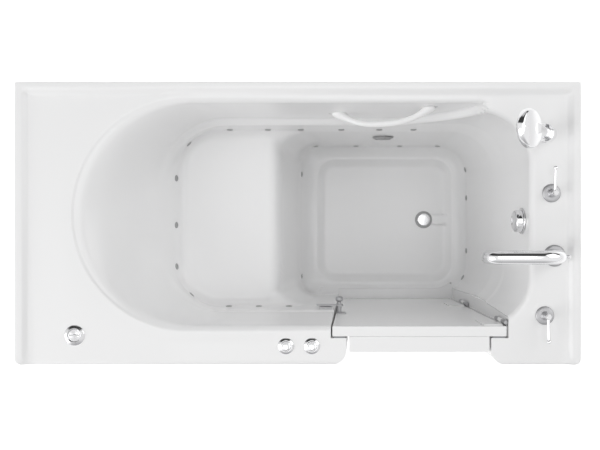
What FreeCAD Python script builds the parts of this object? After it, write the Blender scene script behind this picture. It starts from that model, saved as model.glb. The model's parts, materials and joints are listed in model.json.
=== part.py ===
"""Walk-in air bath: acrylic shell on a steel frame, with door, air system, taps and waste.

Millimetres, +Z up. The origin is on the floor under the middle of the tub; +X points to the tap end
and -Y to the door.
"""
import FreeCAD, Part
import math
import os

V = FreeCAD.Vector
X, Y, Z = V(1, 0, 0), V(0, 1, 0), V(0, 0, 1)

# Overall size and the deck
LENGTH = 1524.0
WIDTH = 762.0
HEIGHT = 965.0
SHELL = 6.0
FLANGE_WIDTH = 27.0
FLANGE_RISE = 15.0
SKIRT = 45.0
FRONT_CORNER = 16.0
BACK_CORNER = 3.0
DECK_LEFT = 163.0
DECK_RIGHT = 134.0
DECK_FRONT = 103.5
DECK_BACK = 53.0

# Basin above the seat
PAN_HEIGHT = 152.0
SEAT_RISE = 432.0
BACKREST_REACH = 248.0
SEAT_COVE = 22.0
SEAT_CORNER = 120.0
RIM_CORNER = 138.0
RIDGE_SHARE = 0.67
RIDGE_FALL = 6.0
RIDGE_STEP = 16.0
WALL_DRAFT = 9.0
LOW_DRAFT = 9.0
FRONT_DRAFT = 11.0
FRONT_LOW_DRAFT = 3.0
FRONT_RIDGE_STEP = 4.0
SWEEP_SETBACK = 121.0
SWEEP_LENGTH = 199.0
SWEEP_BELLY = 36.0
BACKREST_POWER = 0.78
BACKREST_EASE = 0.09
BACKREST_SECTIONS = 9

# Footwell
SEAT_DEPTH = 287.0
RISER_LEAN = 79.0
WELL_CORNER = 70.0
WELL_FLARE = 115.0
RISER_CORNER = 92.0
WELL_DRAFT = 8.0
END_DRAFT = 5.0
COVE_HEIGHT = 58.0
RING_HEIGHT = 16.0
RING_INSET = 43.0
RING_INSET_LEFT = 52.0
TREAD_INSET = 32.0

# Door and its frame
DOOR_GAP = 4.5
DOOR_SETBACK_SHARE = 0.2276
DOOR_INSET_SHARE = 0.0918
DOOR_SLANT = 61.5
DOOR_RISE = 35.0
INNER_STRIP = 28.0
OUTER_STRIP = 41.5
DOOR_LAP = 46.0
SWING_ROOM = 8.0
SEAL = 4.0
JAMB_WIDTH = 50.0
SILL_REACH = 55.0
NOSE_RADIUS = 38.0
HINGE_HEIGHT = 100.0
HINGE_UPPER_DROP = 65.0
HINGE_LOWER_RISE = 223.0
KNUCKLE = 6.5
HINGE_PIN = 3.0
STRAP_LENGTH = 60.0
STRAP = 3.0
LATCH_DROP = 290.0
LATCH_INSET = 10.0
LATCH_PLATE_HEIGHT = 40.0
LATCH_PLATE_WIDTH = 28.0
LATCH_ARM = 70.0
LATCH_BOSS = 9.0
LATCH_KNOB = 11.0
STRIKE_WIDTH = 38.0

# Frame under the shell
RAIL = 40.0
POST = 30.0
BOARD = 18.0
APRON = 4.0
APRON_FOOT = 60.0
APRON_RECESS = 3.0
FOOT_PAD = 25.0
FOOT_PAD_HEIGHT = 10.0
FOOT_STUD = 6.0
SCREW_HEAD = 6.0
SCREW = 2.5

# Air system
JET = 9.0
JET_STEM = 5.0
JET_PROUD = 3.0
JET_LIFT = 1.2
JET_NUT = 9.0
JET_NUT_HEIGHT = 6.0
UPPER_JET_RISE = 31.0
LOWER_JET_RISE = 72.0
MANIFOLD = 9.0
MANIFOLD_OFFSET = 30.0
MANIFOLD_END = 40.0
# Jets as shares of their wall's length, or of half its width from the middle
UPPER_BACK_JETS = (0.169, 0.288, 0.391, 0.517, 0.636, 0.743)
UPPER_FRONT_JETS = (0.166, 0.26, 0.354)
UPPER_LEFT_JETS = (0.84, 0.45, -0.08, -0.55, -0.87)
LOWER_BACK_JETS = (0.087, 0.33, 0.596, 0.825)
LOWER_RIGHT_JETS = (0.68, 0.3, -0.41, -0.77)
LOWER_LEFT_JETS = (0.62, -0.75)
AIR_PIPE = 16.0
BLOWER_RADIUS = 90.0
BLOWER_INSET = 202.0
BLOWER_SHARE = 0.184
BLOWER_WALL = 5.0
MOTOR_RADIUS = 55.0
MOTOR_HEIGHT = 90.0
IMPELLER_RADIUS = 74.0
IMPELLER_VANES = 9
MOTOR_SHAFT = 5.0
CHECK_VALVE = 28.0
CONTROL_BOX = 150.0
CONTROL_BOX_DEPTH = 70.0
CONTROL_BOX_HEIGHT = 130.0
CONTROL_BOX_RISE = 300.0

# Deck fittings
BUTTON_RING = 22.0
BUTTON_CAP = 13.5
BUTTON_TRAVEL = 3.0
CONTROL_RING = 27.5
CONTROL_KNOB = 17.5
RING_RISE = 5.0
VALVE_ROSE = 25.0
VALVE_HUB = 10.0
VALVE_RISE = 38.0
LEVER_LENGTH = 66.0
LEVER = 4.0
SHANK = 12.0
TAP_BODY = 70.0
TAP_TAIL = 80.0
SPOUT_ROSE = 29.5
SPOUT_TUBE = 18.0
SPOUT_OFFSET = 10.0
SPOUT_REACH = 188.5
SPOUT_RISE = 120.0
SPOUT_BEND = 58.0
SPOUT_TIP_BEND = 26.0
SPOUT_DROP = 14.0
DIVERTER_ROD = 3.0
DIVERTER_KNOB = 5.0
DIVERTER_RISE = 75.0
HANDSET_HEAD = 49.0
HEAD_THICKNESS = 20.0
HANDSET_GRIP = 15.0
HANDSET_NECK = 17.0
HANDSET_LENGTH = 170.0
HANDSET_LEAN = 28.3
HANDSET_TURN = 4.3
SPRAY_TILT = 45.0
SPRAY_SET = 10.0
HOLDER_WALL = 8.0
HOLDER_SOCKET = 30.0

# Wall fittings and waste
LIGHT_BEZEL = 35.0
LIGHT_LENS = 26.0
BAR_RADIUS = 9.0
BAR_STANDOFF = 46.0
BAR_FOOT = 22.0
BAR_FLARE = 14.0
DRAIN_FLANGE = 32.5
STOPPER = 26.5
WASTE_PIPE = 19.0
WASTE_WALL = 3.0
WASTE_SPIGOT = 18.0
SPIGOT_LENGTH = 30.0
OVERFLOW_PLATE = 36.5
OVERFLOW_KNOB = 31.0

# Places of the fittings: from the nearest edge of tub or basin, or as a share of half the width
BUTTON_FROM_DOOR = 125.5
BUTTON_PITCH = 70.0
BUTTON_FROM_FRONT = 50.0
CONTROL_FROM_LEFT = 159.0
CONTROL_FROM_FRONT = 79.0
HOT_FROM_RIGHT = 77.0
HOT_SHARE = 0.215
COLD_FROM_RIGHT = 95.0
COLD_SHARE = -0.652
SPOUT_FROM_RIGHT = 69.0
SPOUT_SHARE = -0.228
HOLDER_FROM_RIGHT = 95.0
HOLDER_SHARE = 0.63
DRAIN_FROM_RIM = 156.0
DRAIN_SHARE = 0.042
OVERFLOW_SHARE = 0.018
OVERFLOW_DROP = 72.0
LIGHT_SHARE = 0.504
LIGHT_DROP = 128.0
LIGHT_NUT_GAP = 2.2
BAR_LEFT_FROM_RIM = 534.0
BAR_LEFT_DROP = 170.0
BAR_RIGHT_FROM_RIM = 240.0
BAR_RIGHT_DROP = 64.0

# Clearances
CLEAR = 0.3
RUN = 0.05

# Levels and edges that follow from the sizes above
deck_z = HEIGHT - FLANGE_RISE
under_deck = deck_z - SHELL
seat_z = PAN_HEIGHT + SEAT_RISE
basin_depth = deck_z - seat_z
ridge_drop = RIDGE_SHARE * basin_depth
ridge_z = deck_z - ridge_drop
half_length, half_width = LENGTH / 2, WIDTH / 2
rim_left, rim_right = -half_length + DECK_LEFT, half_length - DECK_RIGHT
rim_front, rim_back = -half_width + DECK_FRONT, half_width - DECK_BACK
ledge_back = rim_back - WALL_DRAFT - RIDGE_STEP
seat_left = rim_left + BACKREST_REACH
seat_front = seat_left + SEAT_DEPTH
cross_rail_top = PAN_HEIGHT - SHELL - BOARD
base_rail_top = cross_rail_top - RAIL
base_rail_z = base_rail_top - RAIL
frame_edge = half_width - APRON_RECESS - APRON - CLEAR
post_y = frame_edge - POST / 2
frame_end = half_length - APRON_RECESS - APRON
post_x = frame_end - POST / 2


def box(x0, x1, y0, y1, z0, z1):
    return Part.makeBox(x1 - x0, y1 - y0, z1 - z0, V(x0, y0, z0))


def rod(start, end, radius):
    return Part.makeCylinder(radius, (end - start).Length, start, end - start)


def tube(start, end, outer, inner):
    return rod(start, end, outer).cut(rod(start, end, inner))


def disc(x, y, z0, z1, radius):
    return rod(V(x, y, z0), V(x, y, z1), radius)


def ring(x, y, z0, z1, outer, inner):
    return tube(V(x, y, z0), V(x, y, z1), outer, inner)


def turned(profile, base, axis):
    """Solid of revolution: profile holds (radius, distance along the axis) pairs."""
    points = [V(radius, 0, along) for radius, along in profile]
    solid = Part.Face(Part.makePolygon(points + points[:1])).revolve(V(0, 0, 0), Z, 360)
    solid.Placement = FreeCAD.Placement(base, FreeCAD.Rotation(Z, axis))
    return solid


def prism_xz(points, y0, y1):
    outline = [V(x, y0, z) for x, z in points]
    return Part.Face(Part.makePolygon(outline + outline[:1])).extrude(V(0, y1 - y0, 0))


def rounded_wire(corners, z):
    """Closed level outline of straight sides and corner arcs; corners holds (x, y, radius)."""
    arcs = []
    for i, (x, y, radius) in enumerate(corners):
        corner = V(x, y, z)
        before = (V(*corners[i - 1][:2], z) - corner).normalize()
        after = (V(*corners[(i + 1) % len(corners)][:2], z) - corner).normalize()
        half = before.getAngle(after) / 2
        inward = (before + after).normalize()
        cut = radius / math.tan(half)
        middle = corner + inward * (radius / math.sin(half) - radius)
        arcs.append((corner + before * cut, middle, corner + after * cut))
    edges = []
    for i, (start, middle, end) in enumerate(arcs):
        edges.append(Part.Arc(start, middle, end).toShape())
        edges.append(Part.LineSegment(end, arcs[(i + 1) % len(arcs)][0]).toShape())
    return Part.Wire(edges)


def outline_corners(outline, grow=0.0):
    left, right, front, back, left_radius, right_radius = outline
    a, b = left_radius + grow, right_radius + grow
    return [(left - grow, back + grow, a), (left - grow, front - grow, a),
            (right + grow, front - grow, b), (right + grow, back + grow, b)]


def swept(path_points, radii, tube_radius):
    """Round bar along straight runs joined by tangent arcs, one radius for each inner point."""
    edges, last = [], path_points[0]
    for i, radius in enumerate(radii, start=1):
        corner = path_points[i]
        before = (path_points[i - 1] - corner).normalize()
        after = (path_points[i + 1] - corner).normalize()
        half = before.getAngle(after) / 2
        cut = radius / math.tan(half)
        middle = corner + (before + after).normalize() * (radius / math.sin(half) - radius)
        edges.append(Part.LineSegment(last, corner + before * cut).toShape())
        edges.append(Part.Arc(corner + before * cut, middle, corner + after * cut).toShape())
        last = corner + after * cut
    edges.append(Part.LineSegment(last, path_points[-1]).toShape())
    heading = path_points[1] - path_points[0]
    section = Part.Wire(Part.makeCircle(tube_radius, path_points[0], heading))
    return Part.Wire(edges).makePipeShell([section], True, False)


def save(node, *solids):
    shape = solids[0] if len(solids) == 1 else Part.makeCompound(list(solids))
    pieces = shape.Solids
    if not shape.isValid() or any(piece.Volume <= 0 for piece in pieces):
        raise ValueError("bad solid in " + node)
    print(node, len(pieces), round(shape.Volume / 1000, 1), "cm3")
    shape.exportStep("parts/" + node + ".step")


# Outline of the basin at a level


def wall_y(z):
    """Front and back wall of the basin above the seat's cove."""
    above = min(1.0, (deck_z - z) / ridge_drop)
    front = rim_front + FRONT_DRAFT * above
    back = rim_back - WALL_DRAFT * above
    if z <= ridge_z - RIDGE_FALL:
        below = (ridge_z - RIDGE_FALL - z) / (ridge_z - RIDGE_FALL - seat_z)
        front += FRONT_RIDGE_STEP + FRONT_LOW_DRAFT * below
        back -= RIDGE_STEP + LOW_DRAFT * below
    return front, back


def upper_outline(z):
    drop = min(1.0, max(0.0, (deck_z - z) / basin_depth))
    front, back = wall_y(min(z, deck_z))
    left = rim_left + BACKREST_REACH * drop ** BACKREST_POWER * (1 - BACKREST_EASE * drop ** 2)
    rim_radius = (rim_back - rim_front) / 2 - 1
    left_radius = rim_radius - (rim_radius - SEAT_CORNER) * drop ** 1.6
    return left, rim_right - SHELL * drop, front, back, left_radius, RIM_CORNER


def well_outline(z):
    """Footwell from the seat's level down to its floor cove."""
    fall = (seat_z - z) / (seat_z - PAN_HEIGHT - COVE_HEIGHT)
    front, back = wall_y(seat_z)
    left = seat_front + RISER_LEAN * fall
    fallen = max(0.0, fall)
    right = rim_right - SHELL - END_DRAFT * fallen
    flare = RIM_CORNER - (RIM_CORNER - WELL_FLARE) * fall
    return left, right, front, back - WELL_DRAFT * fallen, RISER_CORNER, flare


def left_wall(outline, y):
    """Point and inward direction on the left wall of an outline, at a given Y."""
    left, right, front, back, radius, _ = outline
    centre_y = min(max(y, front + radius), back - radius)
    across = y - centre_y
    reach = math.sqrt(radius ** 2 - across ** 2)
    return V(left + radius - reach, y, 0), V(reach, -across, 0).normalize()


# Basin volumes: the same sections, grown by the wall, give the outside of the shell


def basin(grow):
    top = deck_z + 20 if grow == 0 else under_deck
    lowest = seat_z + SEAT_COVE
    shares = [(i / BACKREST_SECTIONS) ** 1.5 for i in range(BACKREST_SECTIONS)]
    levels = {ridge_z, ridge_z - RIDGE_FALL, upper_jet_z, lowest}
    levels |= {deck_z - basin_depth * share for share in shares}
    levels = sorted((level for level in levels if lowest <= level <= deck_z), reverse=True)
    wires = [rounded_wire(outline_corners(upper_outline(deck_z), grow), top)] if grow == 0 else []
    wires += [rounded_wire(outline_corners(upper_outline(level), grow), level - grow) for level in levels]
    wall_front, wall_back = wall_y(lowest)
    side_cove = SEAT_COVE * 0.8
    seat = (seat_left, upper_outline(seat_z)[1], wall_front + side_cove, wall_back - side_cove, SEAT_CORNER,
            RIM_CORNER)
    wires.append(rounded_wire(outline_corners(seat, grow), seat_z - grow))
    upper = Part.makeLoft(wires, True, True).cut(sweep_fill(grow))
    cove_top = PAN_HEIGHT + COVE_HEIGHT
    left, right, front, back, radius, flare = well_outline(cove_top)
    floor_ring = (left + RING_INSET_LEFT, right - RING_INSET, front + RING_INSET, back - RING_INSET,
                  WELL_CORNER, WELL_CORNER)
    tread = (floor_ring[0] + TREAD_INSET, floor_ring[1] - TREAD_INSET, floor_ring[2] + TREAD_INSET,
             floor_ring[3] - TREAD_INSET, WELL_CORNER - 5, WELL_CORNER - 5)
    sections = [(well_outline(lowest), lowest), (well_outline(cove_top), cove_top),
                (floor_ring, PAN_HEIGHT + RING_HEIGHT), (tread, PAN_HEIGHT)]
    well = Part.makeLoft([rounded_wire(outline_corners(outline, grow), z - grow) for outline, z in sections],
                         True, True)
    return upper.fuse(well), well


def sweep_fill(grow):
    """The back wall's ledge sweeps up to the rim at the tap end; this is the wall beside it."""
    top_x, low_x = rim_right - SWEEP_SETBACK, rim_right - SWEEP_SETBACK - SWEEP_LENGTH
    top, low = deck_z + 20, ridge_z - RIDGE_FALL
    belly_x, belly_z = top_x - SWEEP_BELLY, low + ridge_drop * 0.35
    edge = []
    for i in range(7):
        t = i / 6
        a, b, c = (1 - t) ** 2, 2 * t * (1 - t), t ** 2
        edge.append((a * low_x + b * belly_x + c * top_x + grow, a * low + b * belly_z + c * deck_z))
    edge += [(top_x + grow, top), (rim_right + 60, top), (rim_right + 60, low)]
    return prism_xz(edge, ledge_back + grow, rim_back + 60)


# Door edges: the left one slants, following the seat's riser

door_z = PAN_HEIGHT + DOOR_RISE
well_length = rim_right - seat_front
door_left = seat_front + DOOR_SETBACK_SHARE * well_length
door_right = rim_right - DOOR_INSET_SHARE * well_length
strip_back = rim_front - INNER_STRIP
outer_back = strip_back - OUTER_STRIP
stop_y = strip_back - SEAL - CLEAR
stop_left = door_left + DOOR_LAP - SWING_ROOM
stop_right = door_right - DOOR_LAP + DOOR_GAP
sill_z = door_z - DOOR_GAP
stop_sill = door_z + DOOR_LAP - DOOR_GAP - CLEAR
hinge = V(door_right + 2.2, rim_front + STRAP + KNUCKLE - 1, 0)
jamb_y = -frame_edge
sill_back = rim_front + SILL_REACH


def slant(z):
    return DOOR_SLANT * (deck_z - z) / (deck_z - door_z)


def leaf(left, right, low, y0, y1, top=deck_z):
    """Upright plate between two edges, the left one slanted as the door's is."""
    corners = [(left + slant(low), low), (right, low), (right, top), (left + slant(top), top)]
    return prism_xz(corners, y0, y1)


def door_opening():
    pocket = hinge.x + KNUCKLE + 2 * CLEAR
    above = deck_z + 20
    inner = leaf(door_left - DOOR_GAP, pocket, sill_z, rim_front, rim_front + 60, above)
    return inner.fuse(leaf(door_left - DOOR_GAP, door_right + DOOR_GAP, sill_z, stop_y, rim_front, above))


# Places of the fittings, as (x, y) from the nearest edge of the tub

button_x = door_left - BUTTON_FROM_DOOR
button_places = [V(x, BUTTON_FROM_FRONT - half_width, 0) for x in (button_x, button_x + BUTTON_PITCH)]
control_place = V(CONTROL_FROM_LEFT - half_length, CONTROL_FROM_FRONT - half_width, 0)
hot_place = V(half_length - HOT_FROM_RIGHT, HOT_SHARE * half_width, 0)
cold_place = V(half_length - COLD_FROM_RIGHT, COLD_SHARE * half_width, 0)
spout_place = V(half_length - SPOUT_FROM_RIGHT, SPOUT_SHARE * half_width, 0)
spout_tube_x = spout_place.x - SPOUT_OFFSET
holder_place = V(half_length - HOLDER_FROM_RIGHT, HOLDER_SHARE * half_width, 0)
drain_place = V(rim_right - DRAIN_FROM_RIM, DRAIN_SHARE * half_width, 0)
overflow_y = OVERFLOW_SHARE * half_width
overflow_z = deck_z - OVERFLOW_DROP
light_x, light_z = seat_front + LIGHT_SHARE * well_length, seat_z - LIGHT_DROP
bar_ends = [(rim_right - BAR_LEFT_FROM_RIM, deck_z - BAR_LEFT_DROP),
            (rim_right - BAR_RIGHT_FROM_RIM, deck_z - BAR_RIGHT_DROP)]
blower_y = BLOWER_SHARE * half_width
upper_jet_z = seat_z + UPPER_JET_RISE
lower_jet_z = PAN_HEIGHT + LOWER_JET_RISE


# Shell, jambs and door


def deck_wire(z):
    notch = stop_y + CLEAR
    corners = [(-half_length, half_width, BACK_CORNER), (-half_length, -half_width, FRONT_CORNER),
               (stop_left, -half_width, NOSE_RADIUS), (stop_left, notch, 1), (stop_right, notch, 1),
               (stop_right, -half_width, NOSE_RADIUS), (half_length, -half_width, FRONT_CORNER),
               (half_length, half_width, BACK_CORNER)]
    return rounded_wire(corners, z)


def shell_blank(outer):
    deck = Part.Face(deck_wire(under_deck)).extrude(Z * SHELL)
    lip = Part.Face(deck_wire(under_deck)).extrude(Z * (SHELL + FLANGE_RISE))
    lip_x, lip_y = half_length - FLANGE_WIDTH, half_width - FLANGE_WIDTH
    lip = lip.cut(box(-lip_x, lip_x, -WIDTH, lip_y, under_deck, HEIGHT))
    skirts = [box(x0, x1, -half_width, -half_width + SHELL, deck_z - SKIRT, under_deck)
              for x0, x1 in ((-half_length + FRONT_CORNER, stop_left - NOSE_RADIUS),
                             (stop_right + NOSE_RADIUS, half_length - FRONT_CORNER))]
    return deck.fuse([lip, outer] + skirts)


def jambs(outer):
    """Left and right jamb: a stop strip the door closes on, and a reveal beside the door's edge."""
    far_left = stop_left - JAMB_WIDTH
    far_right = door_right + DOOR_GAP + JAMB_WIDTH
    pocket = hinge.x + KNUCKLE + 2 * CLEAR

    reveal_left = door_left - DOOR_GAP
    levels = (cross_rail_top, under_deck)
    reveal_back = rim_front + 40
    low, high = levels
    reveal = prism_xz([(far_left, low), (reveal_left + slant(low), low), (reveal_left + slant(high), high),
                       (far_left, high)], stop_y, reveal_back)
    left = Part.makeLoft([nose_wire(far_left, stop_left + slant(z), z) for z in levels], True, True)
    left = left.fuse(reveal)
    right = Part.makeLoft([nose_wire(far_right, stop_right, z) for z in levels], True, True)
    right = right.fuse([box(door_right + DOOR_GAP, far_right, stop_y, rim_front, low, high),
                        box(pocket, far_right, rim_front, reveal_back, low, high)])
    return left.cut(outer), right.cut(outer)


def nose_wire(far_x, edge_x, z):
    """Level section of a jamb's stop strip, rounded where it meets the apron."""
    radius = NOSE_RADIUS - (half_width - frame_edge)
    side = math.copysign(radius, far_x - edge_x)
    bulge = 1 - math.sqrt(0.5)
    corners = [V(edge_x, stop_y, z), V(far_x, stop_y, z), V(far_x, jamb_y, z), V(edge_x + side, jamb_y, z)]
    turn_end = V(edge_x, jamb_y + radius, z)
    edges = [Part.LineSegment(a, b).toShape() for a, b in zip(corners, corners[1:])]
    turn_middle = V(edge_x + side * bulge, jamb_y + radius * bulge, z)
    edges.append(Part.Arc(corners[-1], turn_middle, turn_end).toShape())
    edges.append(Part.LineSegment(turn_end, corners[0]).toShape())
    return Part.Wire(edges)


def sill(outer, left, right):
    x0, x1 = door_left, door_right + DOOR_GAP + JAMB_WIDTH
    step = box(x0, x1, jamb_y, sill_back, cross_rail_top, sill_z)
    stop = box(x0, x1, jamb_y, stop_y, sill_z, stop_sill)
    pieces = step.fuse(stop).cut(outer).cut(left).cut(right).Solids
    return max(pieces, key=lambda piece: piece.Volume)


def door_pieces():
    inner = leaf(door_left, door_right, door_z, strip_back, rim_front)
    lap_left = door_left + DOOR_LAP
    outer = leaf(lap_left, door_right - DOOR_LAP, door_z + DOOR_LAP, outer_back, strip_back)
    edge = 4.0
    seal = leaf(door_left + edge, door_right - edge, door_z + edge, strip_back - SEAL, strip_back)
    window = leaf(stop_left - edge, stop_right + edge, stop_sill - edge, strip_back - 2 * SEAL,
                  strip_back + SEAL, deck_z + 20)
    return inner, outer, seal.cut(window)


def hinge_set(centre):
    """Bracket on the jamb, strap on the door and the pin through their knuckles."""
    low, high = centre - HINGE_HEIGHT / 2, centre + HINGE_HEIGHT / 2
    third = HINGE_HEIGHT / 3
    face = door_right + DOOR_GAP
    at = V(hinge.x, hinge.y, 0)
    bore = rod(at + Z * (low - 5), at + Z * (high + 5), HINGE_PIN + RUN)
    bracket = box(face - 2, face, rim_front - 24, hinge.y, low, high)
    bracket = bracket.cut(rod(at + Z * (low + third), at + Z * (high - third), KNUCKLE + 2 * CLEAR))
    bracket = bracket.fuse([rod(at + Z * low, at + Z * (low + third - CLEAR), KNUCKLE),
                            rod(at + Z * (high - third + CLEAR), at + Z * high, KNUCKLE)]).cut(bore)
    plate_end = hinge.x - KNUCKLE - 2
    strap = box(hinge.x - STRAP_LENGTH, plate_end, rim_front, rim_front + STRAP, low, high)
    strap = strap.fuse([box(plate_end, hinge.x, rim_front, rim_front + STRAP, low + third, high - third),
                        rod(at + Z * (low + third), at + Z * (high - third), KNUCKLE)]).cut(bore)
    head = rod(at + Z * high, at + Z * (high + 3), KNUCKLE - 1.5)
    return bracket, strap, rod(at + Z * low, at + Z * high, HINGE_PIN).fuse(head)


def latch(basin_room):
    z = deck_z - LATCH_DROP
    wall = wall_y(z)[0]
    edge = door_left + slant(z)
    pivot = V(edge + LATCH_INSET, 0, z)
    plate_top, boss_top, lever_top = rim_front + 4, wall + 7, wall + 13
    spindle = 4.0
    plate = box(edge + 3, edge + 3 + LATCH_PLATE_WIDTH, rim_front, plate_top, z - LATCH_PLATE_HEIGHT / 2,
                z + LATCH_PLATE_HEIGHT / 2)
    plate = plate.fuse(rod(pivot + Y * rim_front, pivot + Y * boss_top, LATCH_BOSS - 2))
    plate = plate.cut(rod(pivot + Y * (plate_top - 2), pivot + Y * boss_top, spindle + RUN))
    lever = box(pivot.x - LATCH_ARM, pivot.x, boss_top + CLEAR, lever_top, z - 6, z + 6)
    lever = lever.fuse([rod(pivot + Y * (boss_top + CLEAR), pivot + Y * lever_top, LATCH_BOSS + 3),
                        rod(pivot + Y * plate_top, pivot + Y * lever_top, spindle),
                        turned([(0, 0), (6, 0), (6, 8), (LATCH_KNOB, 12), (LATCH_KNOB, 20), (8, 24), (0, 24)],
                               pivot + Y * lever_top, Y)])
    strike_right = edge - DOOR_GAP - 8
    strike = box(strike_right - STRIKE_WIDTH, strike_right, wall - 12, wall + 6, z - LATCH_PLATE_HEIGHT / 2,
                 z + LATCH_PLATE_HEIGHT / 2).common(basin_room)
    return plate, lever, strike


# Air system


def right_wall(outline, y):
    left, right, front, back, _, radius = outline
    centre_y = min(max(y, front + radius), back - radius)
    across = y - centre_y
    reach = math.sqrt(radius ** 2 - across ** 2)
    return V(right - radius + reach, y, 0), V(-reach, -across, 0).normalize()


def back_wall(outline, x):
    left, right, front, back, left_radius, right_radius = outline
    radius = left_radius if x < left + left_radius else right_radius
    across = x - min(max(x, left + left_radius), right - right_radius)
    reach = math.sqrt(radius ** 2 - across ** 2)
    return V(x, back - radius + reach, 0), V(-across, -reach, 0).normalize()


def front_wall(outline, x):
    return V(x, outline[2], 0), Y


def jet_seats(outline_at, z, rows):
    """Point on the wall, level inward direction and the wall's lean for each jet of the rows."""
    seats = []
    left, right, front, back, _, _ = outline_at(z)
    for wall, shares in rows:
        for share in shares:
            along = wall in (back_wall, front_wall)
            place = left + share * (right - left) if along else (front + back + share * (back - front)) / 2
            point, inward = wall(outline_at(z), place)
            lean = (wall(outline_at(z - 5), place)[0] - wall(outline_at(z + 5), place)[0]).dot(inward) / 10
            seats.append((point + Z * z, inward, lean))
    return seats


upper_rows = [jet_seats(upper_outline, upper_jet_z, [row]) for row in (
    (back_wall, UPPER_BACK_JETS), (front_wall, UPPER_FRONT_JETS), (left_wall, UPPER_LEFT_JETS))]
upper_seats = sum(upper_rows, [])
lower_seats = jet_seats(well_outline, lower_jet_z, [
    (back_wall, LOWER_BACK_JETS), (right_wall, LOWER_RIGHT_JETS), (left_wall, LOWER_LEFT_JETS)])


def jet(seat, manifold):
    point, inward, lean = seat
    out = (inward + Z * lean).normalize()
    cap = turned([(0, 0), (JET, 0), (JET, JET_PROUD - 1.5), (JET - 2, JET_PROUD), (0, JET_PROUD)],
                 point + out * JET_LIFT, out)
    stem = rod(point + inward * (JET_LIFT + 1), point - inward * (MANIFOLD_OFFSET + 6), JET_STEM)
    stem = stem.cut(manifold)
    return cap.fuse(max(stem.Solids, key=lambda piece: piece.Volume))


def jet_nut(seat):
    point, inward, lean = seat
    start = SHELL * (1 + abs(lean)) + JET_NUT * abs(lean) + 1
    end = start + JET_NUT_HEIGHT - 1
    return tube(point - inward * start, point - inward * end, JET_NUT, JET_STEM + RUN)


def jet_hole(seat):
    point, inward, lean = seat
    return rod(point + inward * 6, point - inward * 30, JET_STEM + CLEAR)


def manifolds():
    left, right, front, back, radius, _ = upper_outline(upper_jet_z)
    off = MANIFOLD_OFFSET
    z = upper_jet_z
    last_back, last_front = upper_rows[0][-1][0], upper_rows[1][-1][0]
    upper = swept([V(last_back.x + MANIFOLD_END, back + off, z), V(left - off, back + off, z),
                   V(left - off, front - off, z), V(last_front.x + MANIFOLD_END, front - off, z)],
                  [radius + off] * 2, MANIFOLD)
    left, right, front, back, radius, flare = well_outline(lower_jet_z)
    z = lower_jet_z
    lower = swept([V(left - off, front + MANIFOLD_END, z), V(left - off, back + off, z),
                   V(right + off, back + off, z), V(right + off, front + MANIFOLD_END, z)],
                  [radius + off, flare + off], MANIFOLD)
    return upper, lower


blower = V(-half_length + BLOWER_INSET, blower_y, lower_jet_z)
blower_floor = cross_rail_top + SHELL
blower_top = 2 * lower_jet_z - blower_floor


def air_pipes(upper, lower):
    riser_x = upper_outline(upper_jet_z)[0] - MANIFOLD_OFFSET
    run_end = well_outline(lower_jet_z)[0] - MANIFOLD_OFFSET
    valve_low, valve_high = (lower_jet_z + upper_jet_z) / 2 - 30, (lower_jet_z + upper_jet_z) / 2 + 30
    low = V(riser_x, blower_y, lower_jet_z)
    run = rod(blower + X * BLOWER_RADIUS, V(run_end, blower_y, lower_jet_z), AIR_PIPE)
    foot = run.fuse(rod(low, V(riser_x, blower_y, valve_low), AIR_PIPE)).cut(lower)
    foot = max(foot.Solids, key=lambda piece: piece.Volume)
    top = rod(V(riser_x, blower_y, valve_high), V(riser_x, blower_y, upper_jet_z), AIR_PIPE).cut(upper)
    top = max(top.Solids, key=lambda piece: piece.Volume)
    third = (valve_high - valve_low) / 3
    valve = turned([(0, 0), (AIR_PIPE, 0), (CHECK_VALVE, third), (CHECK_VALVE, 2 * third),
                    (AIR_PIPE, 3 * third), (0, 3 * third)], V(riser_x, blower_y, valve_low), Z)
    return foot, top, valve


def blower_pieces():
    x, y = blower.x, blower.y
    rail_gap = 70
    bracket = box(x - rail_gap - RAIL / 2, x + rail_gap + RAIL / 2, y - BLOWER_RADIUS, y + BLOWER_RADIUS,
                  cross_rail_top, blower_floor)
    housing = disc(x, y, blower_floor, blower_top, BLOWER_RADIUS)
    housing = housing.cut(disc(x, y, blower_floor + BLOWER_WALL, blower_top, BLOWER_RADIUS - BLOWER_WALL))
    housing = housing.cut(rod(blower, blower + X * BLOWER_RADIUS, AIR_PIPE - BLOWER_WALL / 2))
    cover = ring(x, y, blower_top, blower_top + BLOWER_WALL, BLOWER_RADIUS, MOTOR_SHAFT + 2)
    motor_z = blower_top + BLOWER_WALL
    motor = disc(x, y, motor_z, motor_z + MOTOR_HEIGHT, MOTOR_RADIUS)
    motor = motor.cut(disc(x, y, motor_z, motor_z + 30, MOTOR_SHAFT + RUN))
    low, high = blower_floor + 25, blower_top - 20
    wheel = disc(x, y, low, low + 4, IMPELLER_RADIUS).fuse(disc(x, y, low, motor_z + 28, MOTOR_SHAFT))
    vanes = []
    for i in range(IMPELLER_VANES):
        vane = box(x + 18, x + IMPELLER_RADIUS - 4, y - 1.5, y + 1.5, low + 3, high)
        vanes.append(vane.rotate(V(x, y, 0), Z, 360 * i / IMPELLER_VANES))
    return bracket, housing, cover, motor, wheel.fuse(vanes)


def control_box():
    x0 = -post_x + POST / 2
    return box(x0, x0 + CONTROL_BOX, -frame_edge, CONTROL_BOX_DEPTH - frame_edge, CONTROL_BOX_RISE,
               CONTROL_BOX_RISE + CONTROL_BOX_HEIGHT)


# Frame, aprons and feet

cross_rail_x = [blower.x - 70, blower.x + 70, seat_left + 36, seat_front - 51, door_left + 28,
                drain_place.x - 72, door_right + DOOR_GAP + JAMB_WIDTH / 2]
foot_x = [RAIL - post_x, 0, post_x - RAIL]
rail_y = frame_edge - RAIL / 2


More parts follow.
